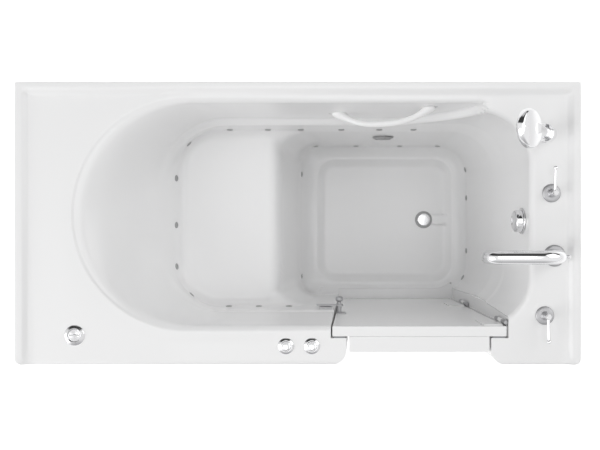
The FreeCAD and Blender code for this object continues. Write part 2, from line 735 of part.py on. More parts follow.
def frame_pieces():
    base = [box(-frame_end, frame_end, y - RAIL / 2, y + RAIL / 2, base_rail_z, base_rail_top)
            for y in (-rail_y, rail_y)]
    cross = [box(x - RAIL / 2, x + RAIL / 2, -frame_edge, frame_edge, base_rail_top, cross_rail_top)
             for x in cross_rail_x]
    top = [box(x - POST / 2, x + POST / 2, -frame_edge, frame_edge, under_deck - RAIL, under_deck)
           for x in (-post_x, post_x)]
    corners = [(x, y) for x in (-post_x, post_x) for y in (-post_y, post_y)]
    posts = [box(x - POST / 2, x + POST / 2, y - POST / 2, y + POST / 2, base_rail_top, under_deck - RAIL)
             for x, y in corners]
    posts += [box(x - POST / 2, x + POST / 2, post_y - POST / 2, post_y + POST / 2, base_rail_top, under_deck)
              for x in (-half_length / 3, half_length / 3)]
    return base, cross, top, posts


def seat_support():
    under_seat = seat_z - SHELL
    xs = (seat_left + 36, seat_front - 51)
    ys = (wall_y(seat_z)[0] + 65, wall_y(seat_z)[1] - 65)
    board = box(xs[0] - 18, xs[1] + 18, ys[0] - 18, ys[1] + 18, under_seat - BOARD, under_seat)
    legs = [box(x - POST / 2, x + POST / 2, y - POST / 2, y + POST / 2, cross_rail_top, under_seat - BOARD)
            for x in xs for y in ys]
    return board, legs


def floor_board():
    left, right, front, back, _, _ = well_outline(PAN_HEIGHT + COVE_HEIGHT)
    board = box(left + 60, right - 20, sill_back + CLEAR, back - 35, cross_rail_top, PAN_HEIGHT - SHELL)
    return board.cut(disc(drain_place.x, drain_place.y, cross_rail_top, PAN_HEIGHT, DRAIN_FLANGE))


def feet():
    places = [(x, y) for x in foot_x for y in (-rail_y, rail_y)]
    profile = [(0, 0), (FOOT_PAD, 0), (FOOT_PAD, 4), (FOOT_STUD + 4, FOOT_PAD_HEIGHT), (0, FOOT_PAD_HEIGHT)]
    pads = [turned(profile, V(x, y, 0), Z) for x, y in places]
    studs = [disc(x, y, FOOT_PAD_HEIGHT, base_rail_z + 25, FOOT_STUD) for x, y in places]
    nuts = [ring(x, y, base_rail_z - 8, base_rail_z, FOOT_STUD + 5, FOOT_STUD + RUN) for x, y in places]
    holes = [disc(x, y, base_rail_z - 1, base_rail_z + 25, FOOT_STUD + RUN) for x, y in places]
    return pads, studs, nuts, holes


apron_front = -half_width + APRON_RECESS


def aprons():
    top = deck_z - SKIRT - 1
    back = apron_front + APRON
    left_end, right_start = stop_left - NOSE_RADIUS, stop_right + NOSE_RADIUS
    left = box(-half_length + 4, left_end, apron_front, back, APRON_FOOT, top)
    right = box(right_start, half_length - 4, apron_front, back, APRON_FOOT, top)
    middle = box(left_end + 1, right_start - 1, apron_front, back, APRON_FOOT, stop_sill)
    jamb_left, jamb_right = stop_left - JAMB_WIDTH + 6, right_start + 18
    screws, holes = [], []
    for x in (-post_x, jamb_left, jamb_right, post_x):
        for z in (APRON_FOOT + 140, top - 100):
            front = V(x, apron_front, z)
            shank = rod(front, front + Y * 14, SCREW)
            head = turned([(0, 0), (SCREW_HEAD, 0), (SCREW_HEAD - 1, 2), (0, 2)], front, -Y)
            screws.append(shank.fuse(head))
            holes.append(rod(front, front + Y * 14, SCREW + RUN))
    return left, right, middle, screws, holes


# Deck fittings


def deck_ring(place, outer, inner, body_radius, depth):
    """Bezel on the deck with its threaded shank, the locknut below and the switch body under it."""
    x, y = place.x, place.y
    wall = 1.5
    shank_low = under_deck - 20
    bezel = turned([(inner, 0), (outer, 0), (outer, RING_RISE - 2), (outer - 2, RING_RISE),
                    (inner, RING_RISE)], V(x, y, deck_z), Z)
    bezel = bezel.fuse(ring(x, y, shank_low, deck_z, inner + wall, inner))
    nut = ring(x, y, under_deck - 9, under_deck - CLEAR, inner + 9, inner + wall + RUN)
    body = disc(x, y, shank_low - depth, shank_low, body_radius)
    return bezel, nut, body, inner + wall + CLEAR


def button_cap(place):
    bottom = deck_z - BUTTON_TRAVEL - 4
    top = RING_RISE + 2 + deck_z - bottom
    return turned([(0, 0), (BUTTON_CAP, 0), (BUTTON_CAP, top - 2), (BUTTON_CAP - 2, top), (0, top - 1)],
                  V(place.x, place.y, bottom), Z)


def control_knob(place):
    low = under_deck - 35
    knob = turned([(0, low - deck_z), (6, low - deck_z), (6, -4), (CONTROL_KNOB, -4), (CONTROL_KNOB, 2),
                   (CONTROL_KNOB - 2, 3), (4, 1), (0, 1)], V(place.x, place.y, deck_z), Z)
    reach = CONTROL_KNOB - 3
    finger = box(place.x - reach, place.x + reach, place.y - 2, place.y + 2, deck_z, deck_z + 5)
    return knob.fuse(finger)


def valve(place, heading):
    """Rose, body and lever of one tap; heading is the level direction of its lever."""
    x, y = place.x, place.y
    rose = turned([(SHANK, 0), (VALVE_ROSE, 0), (VALVE_ROSE, 3), (VALVE_ROSE - 2, 5), (SHANK, 6)],
                  V(x, y, deck_z), Z)
    body_low = under_deck - TAP_BODY
    body = disc(x, y, body_low, under_deck - 10, SHANK + 6)
    body = body.fuse(disc(x, y, body_low, deck_z + 5, SHANK))
    body = body.cut(disc(x, y, deck_z - 20, deck_z + 6, LEVER + RUN))
    nut = ring(x, y, under_deck - 8, under_deck - CLEAR, SHANK + 8, SHANK + RUN)
    hub = turned([(0, 6 + CLEAR), (VALVE_HUB + 2, 6 + CLEAR), (VALVE_HUB - 1, 14),
                  (VALVE_HUB - 2, VALVE_RISE - 4), (VALVE_HUB - 4, VALVE_RISE), (0, VALVE_RISE)],
                 V(x, y, deck_z), Z)
    arm_low = V(x, y, deck_z + VALVE_RISE - 9)
    arm_end = arm_low + heading * LEVER_LENGTH + Z * 6
    lever = hub.fuse([rod(arm_low, arm_end, LEVER), Part.makeSphere(LEVER + 2, arm_end),
                      disc(x, y, deck_z - 18, deck_z + 10, LEVER)])
    tail = disc(x, y, body_low - TAP_TAIL, body_low, SHANK - 2)
    return rose, body.fuse(tail), nut, lever


def spout():
    base, tube_x = spout_place, spout_tube_x
    top = deck_z + SPOUT_RISE
    tip_x, tip_z = tube_x - SPOUT_REACH, top - 6
    path = [V(tube_x, base.y, deck_z + 8), V(tube_x, base.y, top), V(tip_x, base.y, tip_z),
            V(tip_x, base.y, tip_z - SPOUT_TIP_BEND - SPOUT_DROP)]
    body = swept(path, [SPOUT_BEND, SPOUT_TIP_BEND], SPOUT_TUBE)
    shank_low = under_deck - TAP_BODY
    body = body.fuse(disc(tube_x, base.y, shank_low, deck_z + 8, SHANK))
    end = path[-1]
    body = body.cut(rod(end, end + Z * 8, SPOUT_TUBE - 4))
    aerator = rod(end, end + Z * 7, SPOUT_TUBE - 4 - RUN)
    rose = turned([(SHANK, 0), (SPOUT_ROSE, 0), (SPOUT_ROSE, 3), (SPOUT_TUBE + 5, 8), (SHANK, 8)],
                  V(base.x, base.y, deck_z), Z)
    rose = rose.cut(disc(tube_x, base.y, deck_z, deck_z + 9, SHANK + RUN))
    rod_x = tube_x + SPOUT_TUBE + DIVERTER_KNOB + 3 * CLEAR
    rose = rose.cut(disc(rod_x, base.y, deck_z - 1, deck_z + 9, DIVERTER_ROD + RUN))
    nut = ring(tube_x, base.y, under_deck - 8, under_deck - CLEAR, SHANK + 6, SHANK + RUN)
    knob_z = DIVERTER_RISE - 2 * DIVERTER_KNOB
    profile = [(0, -30), (DIVERTER_ROD, -30), (DIVERTER_ROD, knob_z), (DIVERTER_KNOB, knob_z + 2),
               (DIVERTER_KNOB, DIVERTER_RISE - 2), (DIVERTER_KNOB - 2, DIVERTER_RISE), (0, DIVERTER_RISE)]
    diverter = turned(profile, V(rod_x, base.y, deck_z), Z)
    hole = disc(rod_x, base.y, under_deck - 1, deck_z + 1, DIVERTER_ROD + CLEAR)
    shank_hole = disc(tube_x, base.y, under_deck - 1, deck_z + 1, SHANK + CLEAR)
    return body, aerator, rose, nut, diverter, [hole, shank_hole]


grip_lean, grip_turn, tilt = (math.radians(angle) for angle in (HANDSET_LEAN, HANDSET_TURN, SPRAY_TILT))
grip_side = math.sin(grip_lean)
handset_axis = V(-grip_side * math.cos(grip_turn), -grip_side * math.sin(grip_turn), math.cos(grip_lean))
spray_axis = V(-math.cos(tilt), 0, -math.sin(tilt))


def hand_shower():
    x, y = holder_place.x, holder_place.y
    foot = V(x, y, deck_z + 22)
    seat = foot + handset_axis * 6
    mouth = seat + handset_axis * HOLDER_SOCKET
    rose = VALVE_ROSE - 3
    holder = turned([(0, 0), (rose, 0), (rose, 3), (SHANK + 3, 7), (SHANK + 2, 20), (0, 20)],
                    V(x, y, deck_z), Z)
    holder = holder.fuse([rod(foot - handset_axis * 8, mouth, HANDSET_GRIP + HOLDER_WALL),
                          disc(x, y, under_deck - 40, deck_z, SHANK)])
    holder = holder.cut(rod(seat, mouth + handset_axis, HANDSET_GRIP + CLEAR))
    nut = ring(x, y, under_deck - 8, under_deck - CLEAR, SHANK + 8, SHANK + RUN)
    low = seat + handset_axis * CLEAR
    neck = low + handset_axis * HANDSET_LENGTH
    grip = rod(low, mouth, HANDSET_GRIP)
    grip = grip.fuse(Part.makeCone(HANDSET_GRIP, HANDSET_NECK, (neck - mouth).Length, mouth, handset_axis))
    centre = neck + handset_axis * (HANDSET_HEAD * 0.35) + spray_axis * SPRAY_SET
    back, front = -HEAD_THICKNESS / 2, HEAD_THICKNESS / 2
    disc_back = [(0, back - 4), (HANDSET_HEAD / 2, back - 3), (HANDSET_HEAD - 5, back - 1), (HANDSET_HEAD - 1, back + 3)]
    edge = [(HANDSET_HEAD, back + 7), (HANDSET_HEAD, front - 5), (HANDSET_HEAD - 4, front), (0, front)]
    head = turned(disc_back + edge, centre, spray_axis)
    face = turned([(0, front), (HANDSET_HEAD - 8, front), (HANDSET_HEAD - 10, front + 3), (0, front + 4)], centre,
                  spray_axis)
    return holder, nut, grip.fuse(head).cut(face), face


# Wall fittings and waste


def wall_light():
    wall = well_outline(light_z - LIGHT_BEZEL)[3]
    at = V(light_x, wall, light_z)
    bezel = turned([(LIGHT_LENS, 0.5), (LIGHT_BEZEL, 0.5), (LIGHT_BEZEL, 3), (LIGHT_LENS + 3, 6),
                    (LIGHT_LENS, 6)], at, -Y)
    lens = turned([(0, 0.5), (LIGHT_LENS - RUN, 0.5), (LIGHT_LENS - RUN, 4), (0, 7)], at, -Y)
    body = rod(at - Y * 0.5, at + Y * 34, LIGHT_LENS - 2)
    nut_y = SHELL + LIGHT_NUT_GAP
    nut = tube(at + Y * nut_y, at + Y * (nut_y + 8), LIGHT_BEZEL, LIGHT_LENS - 2 + RUN)
    return bezel, lens, body, nut, rod(at - Y * 3, at + Y * 20, LIGHT_LENS - 2 + CLEAR)


def grab_bar():
    ends = [V(x, wall_y(z)[1] - 3 * CLEAR, z) for x, z in bar_ends]
    middle = (ends[0] + ends[1]) * 0.5 - Y * BAR_STANDOFF
    bow = Part.Arc(ends[0], middle, ends[1])
    section = Part.Wire(Part.makeCircle(BAR_RADIUS, ends[0], bow.tangent(bow.FirstParameter)[0]))
    bar = Part.Wire(bow.toShape()).makePipeShell([section], True, False)
    reach = 2 * BAR_FOOT
    for end in ends:
        bar = bar.cut(box(end.x - reach, end.x + reach, end.y, end.y + reach, end.z - reach, end.z + reach))
    flare = [(0, 0), (BAR_FOOT, 0), (BAR_FOOT - 2, 4), (BAR_RADIUS, BAR_FLARE), (0, BAR_FLARE)]
    feet = [turned(flare, end, -Y) for end in ends]
    stud = SCREW + 1.5
    studs = [rod(end, end + Y * 15, stud) for end in ends]
    nut_y = SHELL + 1.5
    nuts = [tube(end + Y * nut_y, end + Y * (nut_y + 5), SCREW_HEAD + 2, stud + RUN) for end in ends]
    holes = [rod(end - Y * 2, end + Y * 30, stud + CLEAR) for end in ends]
    return bar.fuse(feet), studs, nuts, holes


waste_z = base_rail_z + RAIL / 2
waste_x = rim_right + SHELL + 56


def drain():
    x, y = drain_place.x, drain_place.y
    neck = DRAIN_FLANGE - 10
    flange = turned([(neck - 3, 0.3), (DRAIN_FLANGE, 0.3), (DRAIN_FLANGE - 1, 2), (neck, 3), (neck - 3, 2)],
                    V(x, y, PAN_HEIGHT), Z)
    flange = flange.fuse(ring(x, y, PAN_HEIGHT - 30, PAN_HEIGHT + 1, neck, neck - 3))
    stem = 4.0
    spider = box(x - neck + 1, x + neck - 1, y - 3, y + 3, PAN_HEIGHT - 30, PAN_HEIGHT - 22)
    flange = flange.fuse([spider, disc(x, y, PAN_HEIGHT - 30, PAN_HEIGHT - 22, stem + 3)])
    flange = flange.cut(disc(x, y, PAN_HEIGHT - 31, PAN_HEIGHT - 20, stem + RUN))
    stopper = turned([(0, 3 + CLEAR), (STOPPER, 3 + CLEAR), (STOPPER, 6), (STOPPER - 3, 9), (0, 10)],
                     V(x, y, PAN_HEIGHT), Z)
    stopper = stopper.fuse(disc(x, y, PAN_HEIGHT - 34, PAN_HEIGHT + 5, stem))
    cup_top = PAN_HEIGHT - SHELL - 1
    cup = disc(x, y, waste_z - WASTE_PIPE - WASTE_WALL, cup_top, neck + 6)
    start, end = V(x, overflow_y, waste_z), V(half_length - 17, overflow_y, waste_z)
    run = rod(start, end - X * SPIGOT_LENGTH, WASTE_PIPE).fuse(rod(start, end, WASTE_SPIGOT))
    branch = disc(waste_x, overflow_y, waste_z, waste_z + 2.2 * WASTE_PIPE, WASTE_PIPE)
    bore = WASTE_PIPE - WASTE_WALL
    hollow = [disc(x, y, waste_z - bore, cup_top + 1, neck + CLEAR),
              rod(start, end + X, bore),
              disc(waste_x, overflow_y, waste_z, waste_z + 3 * WASTE_PIPE, bore)]
    shoe = cup.fuse([run, branch]).cut(hollow[0].fuse(hollow[1:]))
    return flange, stopper, shoe, disc(x, y, PAN_HEIGHT - 40, PAN_HEIGHT + 5, neck + CLEAR)


def overflow():
    wall = upper_outline(overflow_z)[1]
    at = V(wall, overflow_y, overflow_z)
    stem = 4.0
    plate = turned([(stem + RUN, 0.9), (OVERFLOW_PLATE, 0.9), (OVERFLOW_PLATE - 1, 3), (OVERFLOW_KNOB, 4),
                    (stem + RUN, 4)], at, -X)
    knob = turned([(0, 4 + CLEAR), (OVERFLOW_KNOB, 4 + CLEAR), (OVERFLOW_KNOB, 18), (OVERFLOW_KNOB - 5, 24),
                   (0, 24)], at, -X)
    knob = knob.fuse(rod(at - X * 10, at + X * 40, stem))
    corner = V(waste_x, overflow_y, overflow_z)
    start = at + X * (SHELL + 1)
    foot = V(waste_x, overflow_y, waste_z + 2.2 * WASTE_PIPE)
    bore = WASTE_PIPE - WASTE_WALL

    def elbow(radius):
        return rod(start, corner, radius).fuse([rod(foot, corner, radius), Part.makeSphere(radius, corner)])

    return plate, knob, elbow(WASTE_PIPE).cut(elbow(bore)), rod(at - X * 3, at + X * 12, bore)


def mixer_pipes():
    z = under_deck - 30
    pipes = []
    for place in (hot_place, cold_place):
        start, end = V(place.x, place.y, z), V(spout_tube_x, spout_place.y, z)
        along = (end - start).normalize()
        pipes.append(rod(start + along * (SHANK + 6), end - along * SHANK, 8))
    return pipes


def build():
    os.makedirs("parts", exist_ok=True)
    outer, outer_well = basin(SHELL)
    inner, _ = basin(0)
    left_jamb, right_jamb = jambs(outer)
    bezels, button_nuts, button_bodies, button_holes = [], [], [], []
    for place in button_places:
        bezel, nut, body, hole = deck_ring(place, BUTTON_RING, BUTTON_CAP + CLEAR, BUTTON_CAP, 30)
        bezels.append(bezel)
        button_nuts.append(nut)
        button_bodies.append(body)
        button_holes.append(disc(place.x, place.y, under_deck - 1, deck_z + 1, hole))
    control_bezel, control_nut, control_body, hole = deck_ring(
        control_place, CONTROL_RING, CONTROL_KNOB + CLEAR, CONTROL_KNOB + 4, 40)
    control_hole = disc(control_place.x, control_place.y, under_deck - 1, deck_z + 1, hole)
    hot_rose, hot_body, hot_nut, hot_lever = valve(hot_place, Y)
    cold_rose, cold_body, cold_nut, cold_lever = valve(cold_place, -Y)
    spout_body, aerator, spout_rose, spout_nut, diverter, spout_holes = spout()
    holder, holder_nut, handset, spray_face = hand_shower()
    light_bezel, light_lens, light_body, light_nut, light_hole = wall_light()
    bar, bar_studs, bar_nuts, bar_holes = grab_bar()
    flange, stopper, shoe, drain_hole = drain()
    plate, knob, overflow_pipe, overflow_hole = overflow()
    shank_holes = [disc(place.x, place.y, under_deck - 1, deck_z + 1, SHANK + CLEAR)
                   for place in (hot_place, cold_place, holder_place)]
    holes = [jet_hole(seat) for seat in upper_seats + lower_seats] + button_holes + shank_holes + spout_holes
    holes += bar_holes + [control_hole, light_hole, drain_hole, overflow_hole]
    shell = shell_blank(outer).cut(inner).cut(door_opening()).cut(holes)
    save("tub_shell", max(shell.Solids, key=lambda piece: piece.Volume))
    apron_left, apron_right, sill_panel, screws, screw_holes = aprons()
    screw_void = Part.makeCompound(screw_holes)
    save("left_jamb", left_jamb.cut(screw_void))
    save("right_jamb", right_jamb.cut(screw_void))
    save("door_sill", sill(outer_well.fuse(outer), left_jamb, right_jamb))
    save("apron_panels", apron_left.cut(screw_void), apron_right.cut(screw_void), sill_panel)
    save("apron_screws", *screws)

    base, cross, top, posts = frame_pieces()
    pads, studs, foot_nuts, stud_holes = feet()
    stud_void = Part.makeCompound(stud_holes)
    save("base_rails", *[rail.cut(stud_void) for rail in base])
    save("cross_rails", *cross)
    save("frame_posts", *[post.cut(screw_void) for post in posts], *top)
    seat_board, seat_legs = seat_support()
    save("seat_support", seat_board, *seat_legs)
    save("floor_board", floor_board())
    save("foot_pads", *pads)
    save("foot_studs", *studs, *foot_nuts)

    inner_strip, outer_strip, seal = door_pieces()
    save("door_panel", inner_strip)
    save("door_outer_skin", outer_strip)
    save("door_seal", seal)
    hinges = [hinge_set(z) for z in (deck_z - HINGE_UPPER_DROP, door_z + HINGE_LOWER_RISE)]
    for node, pieces in zip(("hinge_brackets", "hinge_straps", "hinge_pins"), zip(*hinges)):
        save(node, *pieces)
    for node, piece in zip(("latch_plate", "latch_lever", "strike_plate"), latch(inner)):
        save(node, piece)

    upper_manifold, lower_manifold = manifolds()
    save("air_manifolds", upper_manifold, lower_manifold)
    jets = [jet(seat, upper_manifold) for seat in upper_seats]
    jets += [jet(seat, lower_manifold) for seat in lower_seats]
    save("air_jets", *jets)
    save("jet_nuts", *[jet_nut(seat) for seat in upper_seats + lower_seats])
    pipe_foot, pipe_top, check_valve = air_pipes(upper_manifold, lower_manifold)
    save("air_pipes", pipe_foot, pipe_top)
    save("check_valve", check_valve)
    names = ("blower_bracket", "blower_housing", "blower_cover", "blower_motor", "blower_impeller")
    for node, piece in zip(names, blower_pieces()):
        save(node, piece)
    save("control_box", control_box().cut(screw_void))

    save("deck_bezels", *bezels, control_bezel)
    save("deck_nuts", *button_nuts, control_nut, hot_nut, cold_nut, spout_nut, holder_nut)
    control_body = control_body.cut(disc(control_place.x, control_place.y, 0, deck_z, 6 + RUN))
    save("deck_switch_bodies", *button_bodies, control_body)
    for node, place in zip(("air_button", "light_button"), button_places):
        save(node, button_cap(place))
    save("air_control_knob", control_knob(control_place))
    save("tap_roses", hot_rose, cold_rose, spout_rose)
    save("valve_bodies", hot_body, cold_body, *mixer_pipes())
    save("hot_lever", hot_lever)
    save("cold_lever", cold_lever)
    save("spout", spout_body)
    save("spout_aerator", aerator)
    save("diverter_knob", diverter)
    save("shower_holder", holder)
    save("hand_shower", handset)
    save("spray_face", spray_face)

    save("light_bezel", light_bezel)
    save("light_lens", light_lens)
    save("light_body", light_body, light_nut)
    save("grab_bar", bar)
    save("grab_bar_fixings", *bar_studs, *bar_nuts)
    save("drain_flange", flange)
    save("drain_stopper", stopper)
    save("drain_shoe", shoe)
    save("overflow_plate", plate)
    save("overflow_knob", knob)
    save("overflow_pipe", overflow_pipe)


build()
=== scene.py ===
"""Looks of the walk-in air bath: moulded shell, fittings, materials and a plain studio.

The shell is shaped in millimetres, as a surface found by following rays from a point over the basin.
"""
import json
import math
from contextlib import contextmanager

import bmesh
import bpy
import numpy as np
from mathutils import Matrix, Vector


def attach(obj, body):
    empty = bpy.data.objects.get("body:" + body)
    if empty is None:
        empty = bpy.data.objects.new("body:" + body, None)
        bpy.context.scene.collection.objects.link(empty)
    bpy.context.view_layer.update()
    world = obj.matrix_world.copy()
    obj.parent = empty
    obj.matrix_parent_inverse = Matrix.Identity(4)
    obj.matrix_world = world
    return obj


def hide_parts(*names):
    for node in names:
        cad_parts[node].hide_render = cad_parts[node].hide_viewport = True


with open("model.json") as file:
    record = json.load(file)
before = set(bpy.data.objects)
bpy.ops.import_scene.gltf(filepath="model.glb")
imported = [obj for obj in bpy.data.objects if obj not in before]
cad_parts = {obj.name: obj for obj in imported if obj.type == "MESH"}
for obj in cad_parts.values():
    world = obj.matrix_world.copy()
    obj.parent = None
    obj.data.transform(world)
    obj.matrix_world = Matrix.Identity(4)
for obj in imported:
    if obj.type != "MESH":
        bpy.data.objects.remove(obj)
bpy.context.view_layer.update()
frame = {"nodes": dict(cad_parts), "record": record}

bl_info = {
    "name": "Walk-in Air Bath",
    "version": (1, 0, 0),
    "blender": (4, 5, 0),
    "location": "View3D > Sidebar > Air Bath",
    "description": "Builds the looks of a walk-in air bath on its CAD frame",
    "category": "Object",
}

MM = 0.001

# Outline and levels of the shell. A pair that sets a ramp holds its start and its length.
HALF_LENGTH, HALF_WIDTH = 762.0, 381.0
DECK, SEAT, TREAD = 950.0, 584.0, 152.0
SHELL = 6.0
RIM = (-599.0, 628.0, -277.5, 328.0)
RIM_RADII = (301.7, 138.0)
RIM_ROUND = 13.0
BEAD_RISE, BEAD_PLACE, BEAD_HALF, BEAD_FADE = 4.0, 17.0, 16.0, (-200.0, 420.0)
FLANGE_RISE, FLANGE_SLOPE = 13.0, (14.0, 24.0)
SKIRT, SKIRT_TURN = 45.0, (-22.0, 12.0)
RIDGE, RIDGE_DROP = 704.8, 245.2
LEDGE_BACK, LEDGE_TOP, LEDGE_SOFT = 303.0, 9.0, 24.0
BACK_LEAN, FRONT_LEAN = 9.0, 11.0
FRONT_STEP, FRONT_STEP_GROWTH, FRONT_STEP_TOP, FRONT_STEP_SOFT = 4.0, 3.0, 5.0, 14.0
BACKREST_REACH, BACKREST_CURVE, BACKREST_TUCK = 248.0, 0.7, 0.09
SEAT_RADIUS, CORNER_CURVE = 120.0, 1.6
SEAT_FRONT, RISER_LEAN, RISER_DROP, RISER_COSINE = -64.0, 79.0, 374.0, 0.978
WELL_DRAFT, END_DRAFT, END_FLARE = 8.0, 5.0, 23.0
SEAT_COVE, FLOOR_COVE, COVE_GROWTH = 30.0, 57.0, 35.0
COVE_GROWS, COVE_TAPERS, COVE_CHANGES = (TREAD + 60, 160.0), (SEAT - 6, 34.0), (-115.0, 120.0)
SEAT_EDGE_ROUND, RISER_FOOT_ROUND = 30.0, 45.0
FLOOR_RING = (69.0, 574.0, -216.5, 243.0, 70.0, 70.0)
RING_RISE, RING_SLOPE = 16.0, 32.0
CREST_RISE, CREST_HALF = 1.8, 7.0
TONGUE_NOSE, TONGUE_Y, TONGUE_HALF, TONGUE_SOFT, TONGUE_RISE = (506.0, 10.0), 16.0, 19.0, 3.0, 10.0
SWEEP_LOW, SWEEP_BELLY, SWEEP_TOP = (308.0, 699.0), (471.0, 785.0), (507.0, 950.0)
SWEEP_POINTS, SWEEP_PAST_TOP = 60, (519.0, 1070.0)

# Door slot and deck notch
SLOT_LEFT, SLOT_RIGHT, SLOT_BACK, SLOT_FRONT, SLOT_SILL = 89.0, 569.8, -217.5, -309.5, 182.5
SLOT_SLANT = 61.5 / 763.0
NOTCH_LEFT, NOTCH_RIGHT, NOSE = 131.5, 523.0, 38.0
NOSE_ANGLES, NOSE_OVERCUT = np.arange(7.5, 90, 11.25), 1

# Rays that find the shell: where they start, their steps and the share of the gap that a step takes
EYE = (20.0, 20.0, 1700.0)
RAY_STEPS, RAY_STEP_SHARE = 140, 0.62

# Rows of the shell's mesh: insets from the outer edge, offsets from the rim, insets from the floor ring
SHELL_COUNTS, CORNER_STEPS = (76, 116, 76, 116), 40
OUTER_RADII, LEAST_OUTER_RADIUS, OUTER_SHRINK = (4, 16, 16, 4), 3.0, 0.5
LEAST_TREAD_RADIUS, TREAD_SHRINK = 20.0, 0.3
EDGE_ROUND = ((0.0, 7.0), (0.6, 3.4), (2.2, 1.2))
DECK_INSETS = (5, 12, 17, 20, 23, 26, 28.5, 31)
DECK_SHARES = (0.04, 0.12, 0.35, 0.65)
RIM_OFFSETS = (20, 16, 12.5, 9.5, 6.5, 4, 1.5, -0.5, -2.2, -4)
WALL_ROWS, WALL_FOOT_INSET, TREAD_AIM = 74, -6, TREAD + 6
CREST_INSETS = (-3, 0, 3, 7, 11)
TREAD_INSETS = (15, 22, 29, 34, 42, 56, 76, 100, 128)
MIDDLE_SHARES = (0.3, 0.6, 0.85)

# Angles, in degrees, over which an edge is shaded sharp
SHARP_FORMED, SHARP_COPIED, SHARP_TURNED = 40, 32, 30

# Distances, in metres, under which points are one when meshes are merged or cut
MERGE_GAP, CUT_GAP = 1e-5, 1e-7


def smooth(value):
    value = np.clip(value, 0, 1)
    return value * value * (3 - 2 * value)


def ramp(value, start, length):
    """Smooth rise from 0 at start to 1 after that length."""
    return smooth((value - start) / length)


def join_round(a, b, radius):
    """Union of two spaces, negative inside, with a rounded edge where they meet."""
    edge = np.hypot(np.maximum(radius - a, 0), np.maximum(radius - b, 0))
    return np.maximum(radius, np.minimum(a, b)) - edge


def meet_round(a, b, radius):
    """Space inside both a and b, with a cove of that radius in their corner."""
    corner = np.hypot(np.maximum(radius + a, 0), np.maximum(radius + b, 0))
    return np.minimum(-radius, np.maximum(a, b)) + corner


def outline_gap(x, y, left, right, front, back, left_radius, right_radius):
    """Distance from a rounded outline, negative inside it."""
    middle_x, middle_y = (left + right) / 2, (front + back) / 2
    radius = np.where(x < middle_x, left_radius, right_radius)
    across = np.abs(x - middle_x) - (right - left) / 2 + radius
    along = np.abs(y - middle_y) - (back - front) / 2 + radius
    outside = np.hypot(np.maximum(across, 0), np.maximum(along, 0))
    return outside + np.minimum(np.maximum(across, along), 0) - radius


def side_walls(x, z):
    """Front and back wall: a slight draft, then the armrest ridge, which sweeps up at the tap end."""
    above = np.clip((DECK - z) / RIDGE_DROP, 0, 1)
    below = np.clip((RIDGE - z) / (RIDGE - SEAT), 0, 1)
    t = np.linspace(0, 1, SWEEP_POINTS)
    sweep_x, sweep_z = [(1 - t) ** 2 * a + 2 * t * (1 - t) * b + t ** 2 * c
                        for a, b, c in zip(SWEEP_LOW, SWEEP_BELLY, SWEEP_TOP)]
    ridge = np.interp(x, np.append(sweep_x, SWEEP_PAST_TOP[0]), np.append(sweep_z, SWEEP_PAST_TOP[1]))
    back_high = RIM[3] - BACK_LEAN * above
    fall = np.clip((SEAT - z) / RISER_DROP, 0, 1)
    ledge = LEDGE_BACK - BACK_LEAN * below - WELL_DRAFT * fall
    back = back_high + (ledge - back_high) * smooth((ridge + LEDGE_TOP - z) / LEDGE_SOFT)
    front_high = RIM[2] + FRONT_LEAN * above
    step = FRONT_STEP + FRONT_STEP_GROWTH * below
    front = front_high + step * smooth((RIDGE + FRONT_STEP_TOP - z) / FRONT_STEP_SOFT)
    return front, back


def floor_height(x, y):
    """Footwell floor: a raised ring round the tread and a tongue from it to the drain."""
    ring = outline_gap(x, y, *FLOOR_RING)
    beside = smooth((TONGUE_HALF + TONGUE_SOFT - np.abs(y - TONGUE_Y)) / (2 * TONGUE_SOFT))
    tongue = beside * ramp(x, *TONGUE_NOSE)
    crest = CREST_RISE * np.cos(np.clip(ring / CREST_HALF, -1, 1) * math.pi / 2) ** 2
    return TREAD + np.maximum(RING_RISE * smooth(1 + ring / RING_SLOPE) + crest, TONGUE_RISE * tongue)


def deck_height(x, y):
    """Deck with the tile flange on three sides and the bead round the backrest's rim."""
    edge = np.minimum(np.minimum(x + HALF_LENGTH, HALF_LENGTH - x), HALF_WIDTH - y)
    flange = FLANGE_RISE * (1 - ramp(edge, *FLANGE_SLOPE))
    rim = outline_gap(x, y, *RIM, *RIM_RADII)
    bead = np.cos(np.clip((rim - BEAD_PLACE) / BEAD_HALF, -1, 1) * math.pi / 2) ** 2
    return DECK + flange + BEAD_RISE * bead * (1 - ramp(x, *BEAD_FADE))


def wall_space(x, y, z):
    """Signed space of the bath: negative in the air, zero on the acrylic."""
    drop = np.clip((DECK - z) / (DECK - SEAT), 0, 1)
    fall = np.clip((SEAT - z) / RISER_DROP, 0, 1)
    front, back = side_walls(x, z)
    left = RIM[0] + BACKREST_REACH * drop ** BACKREST_CURVE * (1 - BACKREST_TUCK * drop ** 2)
    left_radius = RIM_RADII[0] - (RIM_RADII[0] - SEAT_RADIUS) * drop ** CORNER_CURVE
    left_radius = np.minimum(left_radius, (back - front) / 2)
    walls = outline_gap(x, y, left, RIM[1] - SHELL * drop - END_DRAFT * fall, front, back, left_radius,
                        RIM_RADII[1] - END_FLARE * fall)
    riser = (SEAT_FRONT + RISER_LEAN * (SEAT - z) / RISER_DROP - x) * RISER_COSINE
    step = join_round(SEAT - z, riser, SEAT_EDGE_ROUND)
    ground = meet_round(step, floor_height(x, y) - z, RISER_FOOT_ROUND)
    well_cove = FLOOR_COVE + COVE_GROWTH * ramp(z, *COVE_GROWS) * (1 - ramp(z, *COVE_TAPERS))
    cove = SEAT_COVE + (well_cove - SEAT_COVE) * ramp(x, *COVE_CHANGES)
    basin = meet_round(walls, ground, cove)
    return join_round(deck_height(x, y) - z, basin, RIM_ROUND)


